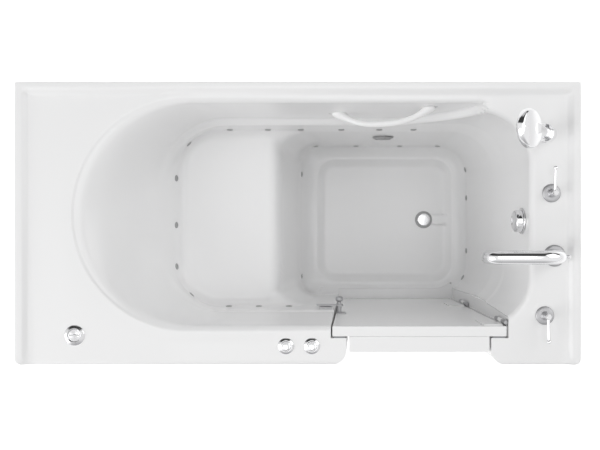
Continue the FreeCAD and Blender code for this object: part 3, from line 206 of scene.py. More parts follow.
def reach_wall(start, heading):
    """Points where rays first meet the acrylic."""
    heading = heading / np.linalg.norm(heading, axis=-1, keepdims=True)
    along = np.zeros(heading.shape[:-1])
    for _ in range(RAY_STEPS):
        points = start + heading * along[..., None]
        along -= RAY_STEP_SHARE * wall_space(points[..., 0], points[..., 1], points[..., 2])
    return start + heading * along[..., None]


def outline_points(left, right, front, back, radii):
    """Points round a rounded outline, as many on each side, between corner middles, as the shell has."""
    corners = [(left, back, 1, -1), (left, front, 1, 1), (right, front, -1, 1), (right, back, -1, -1)]
    turns = [90, 180, 270, 0]
    line, anchors = [], []
    for (x, y, dx, dy), turn, radius in zip(corners, turns, radii):
        angles = np.radians(turn + np.linspace(0, 90, CORNER_STEPS + 1))
        centre = np.array([x + dx * radius, y + dy * radius])
        arc = centre + radius * np.column_stack([np.cos(angles), np.sin(angles)])
        anchors.append(len(line) + CORNER_STEPS // 2)
        line.extend(arc)
    line = np.array(line)
    line = np.roll(line, -anchors[0], axis=0)
    anchors = [a - anchors[0] for a in anchors] + [len(line)]
    line = np.vstack([line, line[:1]])
    length = np.concatenate([[0], np.cumsum(np.linalg.norm(np.diff(line, axis=0), axis=1))])
    places = np.concatenate([np.linspace(length[a], length[b], n, endpoint=False)
                             for a, b, n in zip(anchors, anchors[1:], SHELL_COUNTS)])
    return np.column_stack([np.interp(places, length, line[:, k]) for k in (0, 1)])


def shell_rings():
    """Rings of points from the skirt's foot over the deck and down the basin to the middle of the tread."""
    edges = (-HALF_LENGTH, HALF_LENGTH, -HALF_WIDTH, HALF_WIDTH)

    def inset_rectangle(inset):
        left, right, front, back = edges
        radii = [max(LEAST_OUTER_RADIUS, radius - inset * OUTER_SHRINK) for radius in OUTER_RADII]
        return outline_points(left + inset, right - inset, front + inset, back - inset, radii)

    def rim_offset(grow):
        left, right, front, back = RIM
        radii = [RIM_RADII[0] + grow, RIM_RADII[0] + grow, RIM_RADII[1] + grow, RIM_RADII[1] + grow]
        return outline_points(left - grow, right + grow, front - grow, back + grow, radii)

    rings = []
    outer = inset_rectangle(0)
    foot = DECK - SHELL - (SKIRT - SHELL) * ramp(-HALF_WIDTH - outer[:, 1], *SKIRT_TURN)
    rings.append(np.column_stack([outer, foot]))
    for inset, sink in EDGE_ROUND:
        ring = inset_rectangle(inset)
        rings.append(np.column_stack([ring, deck_height(ring[:, 0], ring[:, 1]) - sink]))
    eye = np.array(EYE)
    plans = [inset_rectangle(inset) for inset in DECK_INSETS]
    first, last = plans[-1], rim_offset(RIM_OFFSETS[0])
    plans += [first + (last - first) * share for share in DECK_SHARES]
    plans += [rim_offset(grow) for grow in RIM_OFFSETS]
    for plan in plans:
        target = np.column_stack([plan, np.full(len(plan), DECK)])
        rings.append(reach_wall(eye, target - eye))

    def slopes(plan, z):
        return (plan - eye[:2]) / (eye[2] - z)

    ring_left, ring_right, ring_front, ring_back, radius, _ = FLOOR_RING

    def floor_outline(inset):
        return outline_points(ring_left + inset, ring_right - inset, ring_front + inset, ring_back - inset,
                              [max(LEAST_TREAD_RADIUS, radius - inset * TREAD_SHRINK)] * 4)

    crest = TREAD + RING_RISE
    top, low = slopes(rim_offset(RIM_OFFSETS[-1]), DECK), slopes(floor_outline(WALL_FOOT_INSET), crest)
    paths = [top + (low - top) * share for share in np.linspace(0, 1, WALL_ROWS)[1:]]
    paths += [slopes(floor_outline(inset), crest) for inset in CREST_INSETS]
    paths += [slopes(floor_outline(inset), TREAD_AIM) for inset in TREAD_INSETS]
    middle = slopes(np.array([[(ring_left + ring_right) / 2, (ring_front + ring_back) / 2]]), TREAD)
    inner = paths[-1]
    paths += [inner + (middle - inner) * share for share in MIDDLE_SHARES]
    for path in paths:
        heading = np.column_stack([path, np.full(len(path), -1.0)])
        rings.append(reach_wall(eye, heading))
    return rings


def cut_away(bm, planes):
    """Cuts the sheet along the planes and removes the faces behind all of them."""
    planes = [(Vector(point) * MM, Vector(normal)) for point, normal in planes]

    def behind(face, count):
        centre = face.calc_center_median()
        return all((centre - point).dot(normal) < 0 for point, normal in planes[:count])

    faces = list(bm.faces)
    for count, (point, normal) in enumerate(planes, start=1):
        edges = {edge for face in faces for edge in face.edges}
        verts = {vert for face in faces for vert in face.verts}
        bmesh.ops.bisect_plane(bm, geom=[*faces, *edges, *verts], dist=CUT_GAP, plane_co=point,
                               plane_no=normal)
        faces = [face for face in bm.faces if behind(face, count)]
    bmesh.ops.delete(bm, geom=faces, context="FACES")


def cut_door_slot(bm):
    slanted = ((SLOT_LEFT, 0, DECK), (-1, 0, -SLOT_SLANT))
    cut_away(bm, [slanted, ((SLOT_RIGHT, 0, 0), (1, 0, 0)), ((0, SLOT_BACK, 0), (0, 1, 0)),
                  ((0, SLOT_FRONT, 0), (0, -1, 0)), ((0, 0, SLOT_SILL), (0, 0, -1))])
    front = ((0, SLOT_FRONT, 0), (0, 1, 0))
    cut_away(bm, [((NOTCH_LEFT, 0, 0), (-1, 0, 0)), ((NOTCH_RIGHT, 0, 0), (1, 0, 0)), front])
    for edge, side in ((NOTCH_LEFT, -1), (NOTCH_RIGHT, 1)):
        centre = (edge + side * NOSE, -HALF_WIDTH + NOSE)
        for angle in np.radians(NOSE_ANGLES):
            out = (-side * math.cos(angle), -math.sin(angle), 0)
            point = (centre[0] + out[0] * NOSE, centre[1] + out[1] * NOSE, DECK)
            near = ((edge - side * NOSE_OVERCUT, 0, 0), (-side, 0, 0))
            far = ((centre[0], 0, 0), (side, 0, 0))
            cut_away(bm, [far, ((0, centre[1], 0), (0, 1, 0)), near, (point, [-v for v in out])])


def add_object(name, data):
    obj = bpy.data.objects.new(name, data)
    bpy.context.scene.collection.objects.link(obj)
    return obj


def mesh_object(name, verts, faces, material):
    mesh = bpy.data.meshes.new(name)
    mesh.from_pydata(verts, [], faces)
    mesh.materials.append(material)
    return add_object(name, mesh)


def plain_mesh(obj):
    """Turns an object with modifiers into a plain mesh."""
    depsgraph = bpy.context.evaluated_depsgraph_get()
    mesh = bpy.data.meshes.new_from_object(obj.evaluated_get(depsgraph), depsgraph=depsgraph)
    obj.modifiers.clear()
    obj.data = mesh
    return obj


@contextmanager
def edited(mesh):
    """Lends a mesh as a bmesh and writes it back."""
    bm = bmesh.new()
    bm.from_mesh(mesh)
    yield bm
    bm.to_mesh(mesh)
    bm.free()


def shade(mesh, angle):
    mesh.shade_smooth()
    mesh.set_sharp_from_angle(angle=math.radians(angle))


def place(obj, body, slot, *nodes):
    """Hangs a finished piece on the empty of the body it rides and hides the CAD nodes it stands for; slot,
    its finish, is not used.
    """
    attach(obj, body)
    if nodes:
        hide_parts(*nodes)


def build_shell(material):
    rings = shell_rings()
    per_ring = sum(SHELL_COUNTS)
    verts = (np.vstack(rings) * MM).tolist()
    faces = []
    for row in range(len(rings) - 1):
        for i in range(per_ring):
            j = (i + 1) % per_ring
            a, b = row * per_ring, (row + 1) * per_ring
            faces.append((a + i, a + j, b + j, b + i))
    faces.append(tuple(range((len(rings) - 1) * per_ring, len(rings) * per_ring)))
    obj = mesh_object("shell", verts, faces, material)
    with edited(obj.data) as bm:
        bmesh.ops.recalc_face_normals(bm, faces=bm.faces)
        up = max(bm.faces, key=lambda face: face.calc_area())
        if up.normal.z < 0:
            bmesh.ops.reverse_faces(bm, faces=bm.faces)
        cut_door_slot(bm)
    wall = obj.modifiers.new("Wall", "SOLIDIFY")
    wall.thickness = SHELL * MM
    wall.offset = -1
    plain_mesh(obj)
    shade(obj.data, SHARP_FORMED)
    return obj


def new_group(name, kind, inputs, outputs):
    """Node group with named sockets, and its input and output node."""
    group = bpy.data.node_groups.new(name, kind)
    for in_out, sockets in (("INPUT", inputs), ("OUTPUT", outputs)):
        for socket, sort in sockets.items():
            group.interface.new_socket(socket, in_out=in_out, socket_type="NodeSocket" + sort)
    return group, group.nodes.new("NodeGroupInput"), group.nodes.new("NodeGroupOutput")


def add_node(tree, kind, *values):
    """New node; each value is a socket to link to the input in that place, or what the input holds."""
    node = tree.nodes.new(kind)
    for socket, value in zip(node.inputs, values):
        if isinstance(value, bpy.types.NodeSocket):
            tree.links.new(value, socket)
        else:
            socket.default_value = value
    return node


def math_node(tree, operation, *values):
    """Output of a new Math node."""
    node = add_node(tree, "ShaderNodeMath", *values)
    node.operation = operation
    return node.outputs[0]


# The same in every finish
NOISE_DETAIL, COAT_ROUGHNESS, RELIEF_DEPTH = 5.0, 0.06, 0.0006


def variation_group():
    """Shader group: mottling of a surface, as factors for colour and roughness and a height for a bump."""
    group, entry, leave = new_group(
        "Surface Variation", "ShaderNodeTree",
        {"Scale": "Float", "Colour Spread": "Float", "Gloss Spread": "Float", "Stretch": "Vector"},
        {"Colour": "Float", "Gloss": "Float", "Height": "Float"})
    nodes, links = group.nodes, group.links
    place_on = nodes.new("ShaderNodeTexCoord")
    drawn = add_node(group, "ShaderNodeVectorMath", place_on.outputs["Object"], entry.outputs["Stretch"])
    drawn.operation = "MULTIPLY"
    noise = nodes.new("ShaderNodeTexNoise")
    noise.inputs["Detail"].default_value = NOISE_DETAIL
    links.new(drawn.outputs["Vector"], noise.inputs["Vector"])
    links.new(entry.outputs["Scale"], noise.inputs["Scale"])
    links.new(noise.outputs["Fac"], leave.inputs["Height"])
    centred = math_node(group, "SUBTRACT", noise.outputs["Fac"], 0.5)
    for result in ("Colour", "Gloss"):
        factor = math_node(group, "MULTIPLY_ADD", centred, entry.outputs[result + " Spread"], 1.0)
        links.new(factor, leave.inputs[result])
    return group


def finish_material(name, colour, roughness, metallic=0.0, coat=0.0, scale=6.0, colour_spread=0.03,
                    gloss_spread=0.2, stretch=(1, 1, 1), bump=0.0):
    """Principled surface whose colour, roughness and relief vary slightly over the object."""
    material = bpy.data.materials.new(name)
    material.use_nodes = True
    nodes, links = material.node_tree.nodes, material.node_tree.links
    shader = nodes["Principled BSDF"]
    shader.inputs["Metallic"].default_value = metallic
    shader.inputs["Coat Weight"].default_value = coat
    shader.inputs["Coat Roughness"].default_value = COAT_ROUGHNESS
    vary = nodes.new("ShaderNodeGroup")
    vary.node_tree = bpy.data.node_groups.get("Surface Variation") or variation_group()
    for socket, value in (("Scale", scale), ("Colour Spread", colour_spread),
                          ("Gloss Spread", gloss_spread), ("Stretch", stretch)):
        vary.inputs[socket].default_value = value
    tint = nodes.new("ShaderNodeVectorMath")
    tint.operation = "SCALE"
    tint.inputs[0].default_value = colour
    links.new(vary.outputs["Colour"], tint.inputs["Scale"])
    links.new(tint.outputs["Vector"], shader.inputs["Base Color"])
    rough = math_node(material.node_tree, "MULTIPLY", vary.outputs["Gloss"], roughness)
    links.new(rough, shader.inputs["Roughness"])
    if bump:
        relief = nodes.new("ShaderNodeBump")
        relief.inputs["Strength"].default_value = bump
        relief.inputs["Distance"].default_value = RELIEF_DEPTH
        links.new(vary.outputs["Height"], relief.inputs["Height"])
        links.new(relief.outputs["Normal"], shader.inputs["Normal"])
    return material


FINISHES = {
    "acrylic": dict(roughness=0.26, coat=0.2, scale=3.0, colour_spread=0.006),
    "chrome": dict(roughness=0.05, metallic=1.0, scale=20.0, colour_spread=0.02),
    "trim": dict(colour=(0.72, 0.72, 0.73), roughness=0.2, metallic=1.0, scale=20.0, colour_spread=0.02),
    "satin": dict(roughness=0.5, metallic=1.0, scale=60.0, colour_spread=0.08, stretch=(1, 6, 1)),
    "jet": dict(roughness=0.35, coat=0.2, scale=90.0, colour_spread=0.1),
    "enamel": dict(colour=(0.8, 0.8, 0.8), roughness=0.3, scale=30.0, bump=0.05),
    "white_plastic": dict(colour=(0.8, 0.8, 0.79), roughness=0.4, scale=40.0, colour_spread=0.05, bump=0.1),
    "grey_plastic": dict(colour=(0.3, 0.31, 0.32), roughness=0.5, scale=160.0, colour_spread=0.12,
                         bump=0.25),
    "steel": dict(colour=(0.52, 0.53, 0.54), roughness=0.4, metallic=1.0, scale=22.0, colour_spread=0.3,
                  gloss_spread=0.6, bump=0.1),
    "motor_paint": dict(colour=(0.05, 0.052, 0.056), roughness=0.42, scale=120.0, colour_spread=0.2,
                        bump=0.3),
    "board": dict(colour=(0.56, 0.41, 0.25), roughness=0.7, scale=14.0, colour_spread=0.7,
                  stretch=(1, 9, 9), bump=0.4),
    "rubber": dict(colour=(0.06, 0.06, 0.062), roughness=0.75, scale=200.0, colour_spread=0.2, bump=0.4),
    "lens": dict(roughness=0.22, coat=0.5, scale=30.0, colour_spread=0.1),
    "brass": dict(colour=(0.66, 0.5, 0.24), roughness=0.3, metallic=1.0, scale=30.0, colour_spread=0.2,
                  bump=0.1),
}


def finish(slot):
    """Material of a finish; the settings hold the colours of the ones that show most."""
    name = "bath_" + slot
    facts = dict(FINISHES[slot])
    facts.setdefault("colour", getattr(bpy.context.scene.bath_settings, slot + "_colour", None))
    return bpy.data.materials.get(name) or finish_material(name, **facts)


# CAD nodes whose look differs from their material's usual finish
NODE_FINISH = {
    "hinge_straps": "acrylic", "door_seal": "grey_plastic",
    **dict.fromkeys(("hinge_brackets", "hinge_pins", "tap_roses", "strike_plate", "latch_plate",
                     "latch_lever"), "satin"),
    **dict.fromkeys(("drain_flange", "light_bezel"), "jet"),
    **dict.fromkeys(("drain_stopper", "deck_bezels", "air_button", "light_button", "air_control_knob"),
                    "trim"),
}


def node_facts():
    """Body and finish of every CAD node."""
    grouped = frame["record"]["behaviour"]["bodies"]
    bodies = {node: body for body, nodes in grouped.items() for node in nodes}
    slots = {part["node"]: part["material_slot"] for part in frame["record"]["subparts"]}
    return {node: (bodies[node], slots[node]) for node in frame["nodes"]}


# Copies of CAD nodes: width of eased edges by finish, angles in degrees that tell an edge, weight of flats
EASED_EDGES = {"acrylic": 1.6, "chrome": 0.5, "steel": 1.0}
FLAT_ANGLE, EASED_ANGLE, FLATS_WEIGHT = 0.5, 50, 75


def smooth_copy(node, edge):
    """Merged, smooth-shaded copy of a CAD node, with its edges eased by that many millimetres."""
    body, slot = node_facts()[node]
    source = frame["nodes"][node]
    mesh = source.data.copy()
    mesh.transform(source.matrix_world)
    with edited(mesh) as bm:
        bmesh.ops.remove_doubles(bm, verts=bm.verts, dist=MERGE_GAP)
        bmesh.ops.dissolve_limit(bm, angle_limit=math.radians(FLAT_ANGLE), verts=bm.verts, edges=bm.edges)
    mesh.materials.clear()
    mesh.materials.append(finish(NODE_FINISH.get(node, slot)))
    obj = add_object(node + "_finish", mesh)
    if edge:
        mesh.shade_smooth()
        ease = obj.modifiers.new("Edges", "BEVEL")
        ease.width = edge * MM
        ease.segments = 2
        ease.limit_method = "ANGLE"
        ease.angle_limit = math.radians(EASED_ANGLE)
        obj.modifiers.new("Flats", "WEIGHTED_NORMAL").weight = FLATS_WEIGHT
        plain_mesh(obj)
    else:
        shade(mesh, SHARP_COPIED)
    place(obj, body, slot, node)


def finish_nodes(*nodes):
    for node in nodes:
        smooth_copy(node, EASED_EDGES.get(node_facts()[node][1], 0.0))


# Air jets: shares of the wall's length, or of half its width from the middle, as on the CAD part
UPPER_JETS, LOWER_JETS = 615.0, 224.0
UPPER_WALL = (-385.0, 622.2, -259.9, 296.1)
LOWER_WALL = (12.0, 617.2, -259.5, 286.3)
UPPER_ROWS = (("back", (0.169, 0.288, 0.391, 0.517, 0.636, 0.743)), ("front", (0.166, 0.26, 0.354)),
               ("left", (0.84, 0.45, -0.08, -0.55, -0.87)))
LOWER_ROWS = (("back", (0.087, 0.33, 0.596, 0.825)), ("right", (0.68, 0.3, -0.41, -0.77)),
              ("left", (0.62, -0.75)))
JET_RISE, JET_RAY, JET_SIDES = 2.6, 200.0, 28


def wall_normal(points):
    """Unit direction into the bath at points on the acrylic."""
    slopes = [wall_space(*(points + step).T) - wall_space(*(points - step).T) for step in np.eye(3) / 2]
    normal = -np.column_stack(slopes)
    return normal / np.linalg.norm(normal, axis=1, keepdims=True)


def jet_places():
    starts, headings = [], []
    for z, (left, right, front, back), rows in ((UPPER_JETS, UPPER_WALL, UPPER_ROWS),
                                                (LOWER_JETS, LOWER_WALL, LOWER_ROWS)):
        middle = np.array([(left + right) / 2, (front + back) / 2])
        for wall, shares in rows:
            for share in shares:
                if wall in ("back", "front"):
                    starts.append((left + share * (right - left), middle[1], z))
                    headings.append((0, 1 if wall == "back" else -1, 0))
                else:
                    inside = left + JET_RAY if wall == "left" else right - JET_RAY
                    starts.append((inside, middle[1] + share * (back - front) / 2, z))
                    headings.append((1 if wall == "right" else -1, 0, 0))
    points = reach_wall(np.array(starts), np.array(headings, dtype=float))
    return points, wall_normal(points)


def turned_mesh(name, profile, material, sides, ring=False):
    """Mesh turned about Z from (radius, height) pairs in millimetres.

    A ring's profile is a closed loop; another profile starts and ends on the axis.
    """
    loop = profile if ring else profile[1:-1]
    verts, faces = [], []
    for radius, height in loop:
        verts += [(radius * MM * math.cos(angle), radius * MM * math.sin(angle), height * MM)
                  for angle in (math.tau * i / sides for i in range(sides))]
    rows = len(loop)
    for i in range(sides):
        j = (i + 1) % sides
        for row in range(rows if ring else rows - 1):
            a, b = row * sides, (row + 1) % rows * sides
            faces.append((a + i, a + j, b + j, b + i))
    if not ring:
        first, last = len(verts), (rows - 1) * sides
        verts += [(0, 0, profile[0][1] * MM), (0, 0, profile[-1][1] * MM)]
        for i in range(sides):
            j = (i + 1) % sides
            faces += [(first, j, i), (first + 1, last + i, last + j)]
    obj = mesh_object(name, verts, faces, material)
    with edited(obj.data) as bm:
        bmesh.ops.recalc_face_normals(bm, faces=bm.faces)
    return obj


def paint_result(group, result, entry, leave):
    """Ends a geometry group: makes its instances real and sets their material."""
    real = group.nodes.new("GeometryNodeRealizeInstances")
    paint = group.nodes.new("GeometryNodeSetMaterial")
    group.links.new(result, real.inputs["Geometry"])
    group.links.new(real.outputs["Geometry"], paint.inputs["Geometry"])
    group.links.new(entry.outputs["Finish"], paint.inputs["Material"])
    group.links.new(paint.outputs["Geometry"], leave.inputs["Mesh"])


def instance_group():
    """Geometry group: one object on every point, its Z turned to the point's facing."""
    group, entry, leave = new_group(
        "Place On Wall", "GeometryNodeTree",
        {"Points": "Geometry", "Piece": "Object", "Finish": "Material"}, {"Mesh": "Geometry"})
    nodes, links = group.nodes, group.links
    piece = nodes.new("GeometryNodeObjectInfo")
    facing = nodes.new("GeometryNodeInputNamedAttribute")
    facing.data_type = "FLOAT_VECTOR"
    facing.inputs["Name"].default_value = "facing"
    turn = nodes.new("FunctionNodeAlignRotationToVector")
    turn.axis = "Z"
    put = nodes.new("GeometryNodeInstanceOnPoints")
    links.new(entry.outputs["Points"], put.inputs["Points"])
    links.new(entry.outputs["Piece"], piece.inputs["Object"])
    links.new(piece.outputs["Geometry"], put.inputs["Instance"])
    links.new(facing.outputs["Attribute"], turn.inputs["Vector"])
    links.new(turn.outputs["Rotation"], put.inputs["Rotation"])
    paint_result(group, put.outputs["Instances"], entry, leave)
    return group


def set_input(modifier, name, value):
    for item in modifier.node_group.interface.items_tree:
        if item.item_type == "SOCKET" and item.in_out == "INPUT" and item.name == name:
            modifier[item.identifier] = value
            return
    raise KeyError(name)


def instances(name, points, facings, piece, material):
    """Copies of a piece on points, as one plain mesh."""
    obj = mesh_object(name, (points * MM).tolist(), [], material)
    attribute = obj.data.attributes.new("facing", "FLOAT_VECTOR", "POINT")
    attribute.data.foreach_set("vector", np.asarray(facings, dtype=np.float32).ravel())
    modifier = obj.modifiers.new("Place", "NODES")
    modifier.node_group = bpy.data.node_groups.get("Place On Wall") or instance_group()
    set_input(modifier, "Piece", piece)
    set_input(modifier, "Finish", material)
    plain_mesh(obj)
    bpy.data.objects.remove(piece)
    shade(obj.data, SHARP_FORMED)
    return obj


def build_jets(material, jet_radius):
    rise, radius = JET_RISE, jet_radius / MM
    jet = turned_mesh("jet", [(0, 0.1), (radius, 0.1), (radius, 1.2), (radius - 1.2, rise - 0.4),
                              (radius - 2.4, rise), (4.6, rise), (4.0, rise - 1.6), (2.4, rise - 1.8),
                              (1.8, rise - 0.6), (0, rise - 0.5)], material, JET_SIDES)
    points, facings = jet_places()
    return instances("jets", points, facings, jet, material)


# Grab bar: a bow between two wall ends, flat along its middle and flared where it meets the wall
BAR_ENDS = ((118.0, 786.0), (369.0, 880.0))
BAR_STANDOFF, BAR_BOW = 39.0, 2.6
BAR_FLARE, FLARE_REACH, FLARE_CURVE = 1.9, 24.0, 1.5
BAR_RAY, BAR_POINTS, BAR_SIDES, BAR_OVERRUN, BAR_SINK = 100.0, 61, 32, 0.03, 0.3


def sweep_group():
    """Geometry group: a round bar along a path, its girth read from the points."""
    group, entry, leave = new_group(
        "Round Bar", "GeometryNodeTree",
        {"Path": "Geometry", "Radius": "Float", "Finish": "Material"}, {"Mesh": "Geometry"})
    nodes, links = group.nodes, group.links
    line = nodes.new("GeometryNodeMeshToCurve")
    girth = nodes.new("GeometryNodeInputNamedAttribute")
    girth.inputs["Name"].default_value = "girth"
    thick = nodes.new("GeometryNodeSetCurveRadius")
    circle = nodes.new("GeometryNodeCurvePrimitiveCircle")
    circle.inputs["Resolution"].default_value = BAR_SIDES
    solid = nodes.new("GeometryNodeCurveToMesh")
    solid.inputs["Fill Caps"].default_value = True
    links.new(entry.outputs["Path"], line.inputs["Mesh"])
    links.new(line.outputs["Curve"], thick.inputs["Curve"])
    links.new(girth.outputs["Attribute"], thick.inputs["Radius"])
    links.new(entry.outputs["Radius"], circle.inputs["Radius"])
    links.new(thick.outputs["Curve"], solid.inputs["Curve"])
    links.new(circle.outputs["Curve"], solid.inputs["Profile Curve"])
    if "Scale" in solid.inputs:
        links.new(girth.outputs["Attribute"], solid.inputs["Scale"])
    paint_result(group, solid.outputs["Mesh"], entry, leave)
    return group


def build_grab_bar(material, bar_radius):
    ends = np.array([(x, BAR_RAY, z) for x, z in BAR_ENDS])
    left, right = reach_wall(ends, np.array([(0.0, 1.0, 0.0)] * 2))
    share = np.linspace(-BAR_OVERRUN, 1 + BAR_OVERRUN, BAR_POINTS)
    chord = left + (right - left) * share[:, None]
    bow = BAR_STANDOFF * (1 - np.abs(2 * share - 1) ** BAR_BOW)
    chord[:, 1] -= bow
    girth = 1 + (BAR_FLARE - 1) * np.clip(1 - bow / FLARE_REACH, 0, 1) ** FLARE_CURVE
    obj = mesh_object("grab_bar_finish", (chord * MM).tolist(), [], material)
    obj.data.edges.add(len(chord) - 1)
    obj.data.edges.foreach_set("vertices", [v for i in range(len(chord) - 1) for v in (i, i + 1)])
    attribute = obj.data.attributes.new("girth", "FLOAT", "POINT")
    attribute.data.foreach_set("value", girth.astype(np.float32))
    modifier = obj.modifiers.new("Bar", "NODES")
    modifier.node_group = sweep_group()
    set_input(modifier, "Radius", bar_radius)
    set_input(modifier, "Finish", material)
    plain_mesh(obj)
    wall = max(left[1], right[1]) - BAR_SINK
    with edited(obj.data) as bm:
        bmesh.ops.bisect_plane(bm, geom=[*bm.verts, *bm.edges, *bm.faces], plane_co=(0, wall * MM, 0),
                               plane_no=(0, 1, 0), clear_outer=True)
        bmesh.ops.holes_fill(bm, edges=[edge for edge in bm.edges if edge.is_boundary], sides=0)
    shade(obj.data, SHARP_FORMED)
    return obj


# Round fittings, turned anew on the places of their CAD nodes
UP, AHEAD, INWARD = Vector((0, 0, 1)), Vector((0, -1, 0)), Vector((-1, 0, 0))
TURNED_SIDES = 72
CONTROL_RING_RADIUS, CONTROL_RING_WALL, BUTTON_RING_WALL = 25, 9.7, 8.2
ROSE_BORE, ROSE_LIFT = 12.0, 0.05
OVERFLOW_BORE, OVERFLOW_STEM, OVERFLOW_STEM_END = 4.2, 4, 3.5


def solid_boxes(node):
    """Low and high corner, in millimetres, of each separate solid of a CAD node, from left to right."""
    source = frame["nodes"][node]
    bm = bmesh.new()
    bm.from_mesh(source.data)
    bm.transform(source.matrix_world)
    bmesh.ops.remove_doubles(bm, verts=bm.verts, dist=MERGE_GAP)
    waiting, boxes = set(bm.verts), []
    while waiting:
        front, corners = [waiting.pop()], []
        while front:
            vert = front.pop()
            corners.append(np.array(vert.co) / MM)
            near = {edge.other_vert(vert) for edge in vert.link_edges} & waiting
            waiting -= near
            front.extend(near)
        boxes.append((np.min(corners, axis=0), np.max(corners, axis=0)))
    bm.free()
    return sorted(boxes, key=lambda box: box[0][0])


def cap(radius, low, high):
    """Push button: a lipped cap with a dished top."""
    return [(0, low), (radius, low), (radius, high - 1.8), (radius - 0.5, high - 0.7),
            (radius - 1.4, high - 0.1), (radius - 2.4, high - 0.1), (radius - 3.2, high - 0.7),
            (radius - 4.6, high - 1.3), (0, high - 1.6)]


def bezel(radius, low, high):
    """Deck ring: a raised inner lip that slopes to the deck, and its shank."""
    inner = radius - (CONTROL_RING_WALL if radius > CONTROL_RING_RADIUS else BUTTON_RING_WALL)
    return [(inner, low), (inner, high - 0.8), (inner + 0.8, high), (inner + 2, high),
            (inner + 3, high - 0.7), (radius - 2.2, high - 2.4), (radius - 0.6, high - 3.6),
            (radius, high - 4.4), (radius, 0.1), (inner + 1.5, 0.1), (inner + 1.5, low)]


def rose(radius, low, high):
    """Tap rose: a low dome round the tap's neck, just clear of the deck."""
    low += ROSE_LIFT
    return [(ROSE_BORE, low), (radius, low), (radius, 1.6), (radius - 0.6, 2.6), (radius - 1.8, 3.6),
            (radius - 4, high - 1), (radius - 8, high - 0.4), (ROSE_BORE, high)]


def stopper(radius, low, high):
    """Drain stopper: a domed lid on a stem."""
    rim = radius - 2
    return [(0, low), (4, low), (4, 3.4), (rim, 3.4), (rim, 6), (radius - 2.5, 7.2), (radius - 3.6, 8),
            (radius - 6, 8.6), (radius * 0.5, 9), (0, 9.2)]


def diverter(radius, low, high):
    """Diverter: a small round knob on a rod."""
    return [(0, low), (3, low), (3, high - 11), (radius - 0.6, high - 9.4), (radius, high - 8),
            (radius, high - 2), (radius - 0.7, high - 0.8), (radius - 2, high), (0, high)]


def light_ring(radius, depth):
    return [(26, 0.1), (radius, 0.1), (radius, 1.6), (radius - 0.7, 2.8), (radius - 2.4, 4), (29, 5.4),
            (27, 5.6), (26, 4.8)]


def light_glass(radius, depth):
    return [(0, 0.1), (radius, 0.1), (radius, 2.6), (radius - 2, 3.8), (radius * 0.6, 5.4), (0, depth)]


def overflow_cover(radius):
    return [(OVERFLOW_BORE, 0.1), (radius, 0.1), (radius - 0.4, 1.4), (radius - 2, 2.4), (radius - 5, 3),
            (OVERFLOW_BORE, 3.1)]


def overflow_grip(radius, back, front):
    """Overflow knob: a stem through the cover and a dished grip."""
    stem, stem_end = OVERFLOW_STEM, OVERFLOW_STEM_END
    return [(0, back), (stem, back), (stem, stem_end), (radius, stem_end), (radius, front - 8),
            (radius - 0.8, front - 4.6), (radius - 2.6, front - 2), (radius - 5.4, front - 0.5),
            (radius - 9, front), (0, front)]


def build_round_fittings():
    """Turned copies of the round CAD nodes, with finer sides and eased lips."""
    facts = node_facts()

    def turn(node, profile, base, axis, ring=False):
        material = finish(NODE_FINISH.get(node, facts[node][1]))
        obj = turned_mesh(node + "_finish", profile, material, TURNED_SIDES, ring)
        turn_to = axis.to_track_quat("Z", "Y").to_matrix().to_4x4()
        obj.data.transform(Matrix.Translation(Vector(base) * MM) @ turn_to)
        shade(obj.data, SHARP_TURNED)
        return obj

    def deck_pieces(node, shape, level=DECK, ring=False):
        pieces = []
        for low, high in solid_boxes(node):
            centre = (low + high) / 2
            profile = shape((high[0] - low[0]) / 2, low[2] - level, high[2] - level)
            pieces.append(turn(node, profile, (centre[0], centre[1], level), UP, ring))
        return pieces

    made = {
        "air_button": deck_pieces("air_button", cap),
        "light_button": deck_pieces("light_button", cap),
        "deck_bezels": deck_pieces("deck_bezels", bezel, ring=True),
        "tap_roses": deck_pieces("tap_roses", rose, ring=True),
        "drain_stopper": deck_pieces("drain_stopper", stopper, TREAD),
    }
    for node, shape, ring in (("light_bezel", light_ring, True), ("light_lens", light_glass, False)):
        low, high = solid_boxes(node)[0]
        base = ((low[0] + high[0]) / 2, high[1], (low[2] + high[2]) / 2)
        made[node] = [turn(node, shape((high[0] - low[0]) / 2, high[1] - low[1]), base, AHEAD, ring)]
    low, high = solid_boxes("overflow_plate")[0]
    base = (high[0], (low[1] + high[1]) / 2, (low[2] + high[2]) / 2)
    cover = overflow_cover((high[1] - low[1]) / 2)
    made["overflow_plate"] = [turn("overflow_plate", cover, base, INWARD, True)]
    low, high = solid_boxes("overflow_knob")[0]
    grip = overflow_grip((high[1] - low[1]) / 2, base[0] - high[0], base[0] - low[0])
    made["overflow_knob"] = [turn("overflow_knob", grip, base, INWARD)]
    made["diverter_knob"] = deck_pieces("diverter_knob", diverter)
    return made


# Studio: greys of the room that metal reflects, from front to back, then floor and lights in metres
ROOM_ENDS = ((0.45, 0.45, 0.46, 1), (0.6, 0.6, 0.61, 1))
ROOM_GREYS = ((0.2, 0.95), (0.69, 0.95), (0.74, 0.05), (0.93, 0.05), (0.97, 0.6))
WHITE = (1, 1, 1, 1)
FLOOR_HALF = 9.0
KEY_PLACE, KEY_SIZE, KEY_TARGET = (0.25, 0.0, 4.6), (3.0, 2.5), (0, 0, 0.6)
SIDE_PLACE, SIDE_SIZE, SIDE_TARGET = (2.9, 1.3, 2.7), (2.6, 2.6), (-0.5, -0.2, 0.5)
SIDE_SHARES = ((-1, 1.0), (1, 0.6))


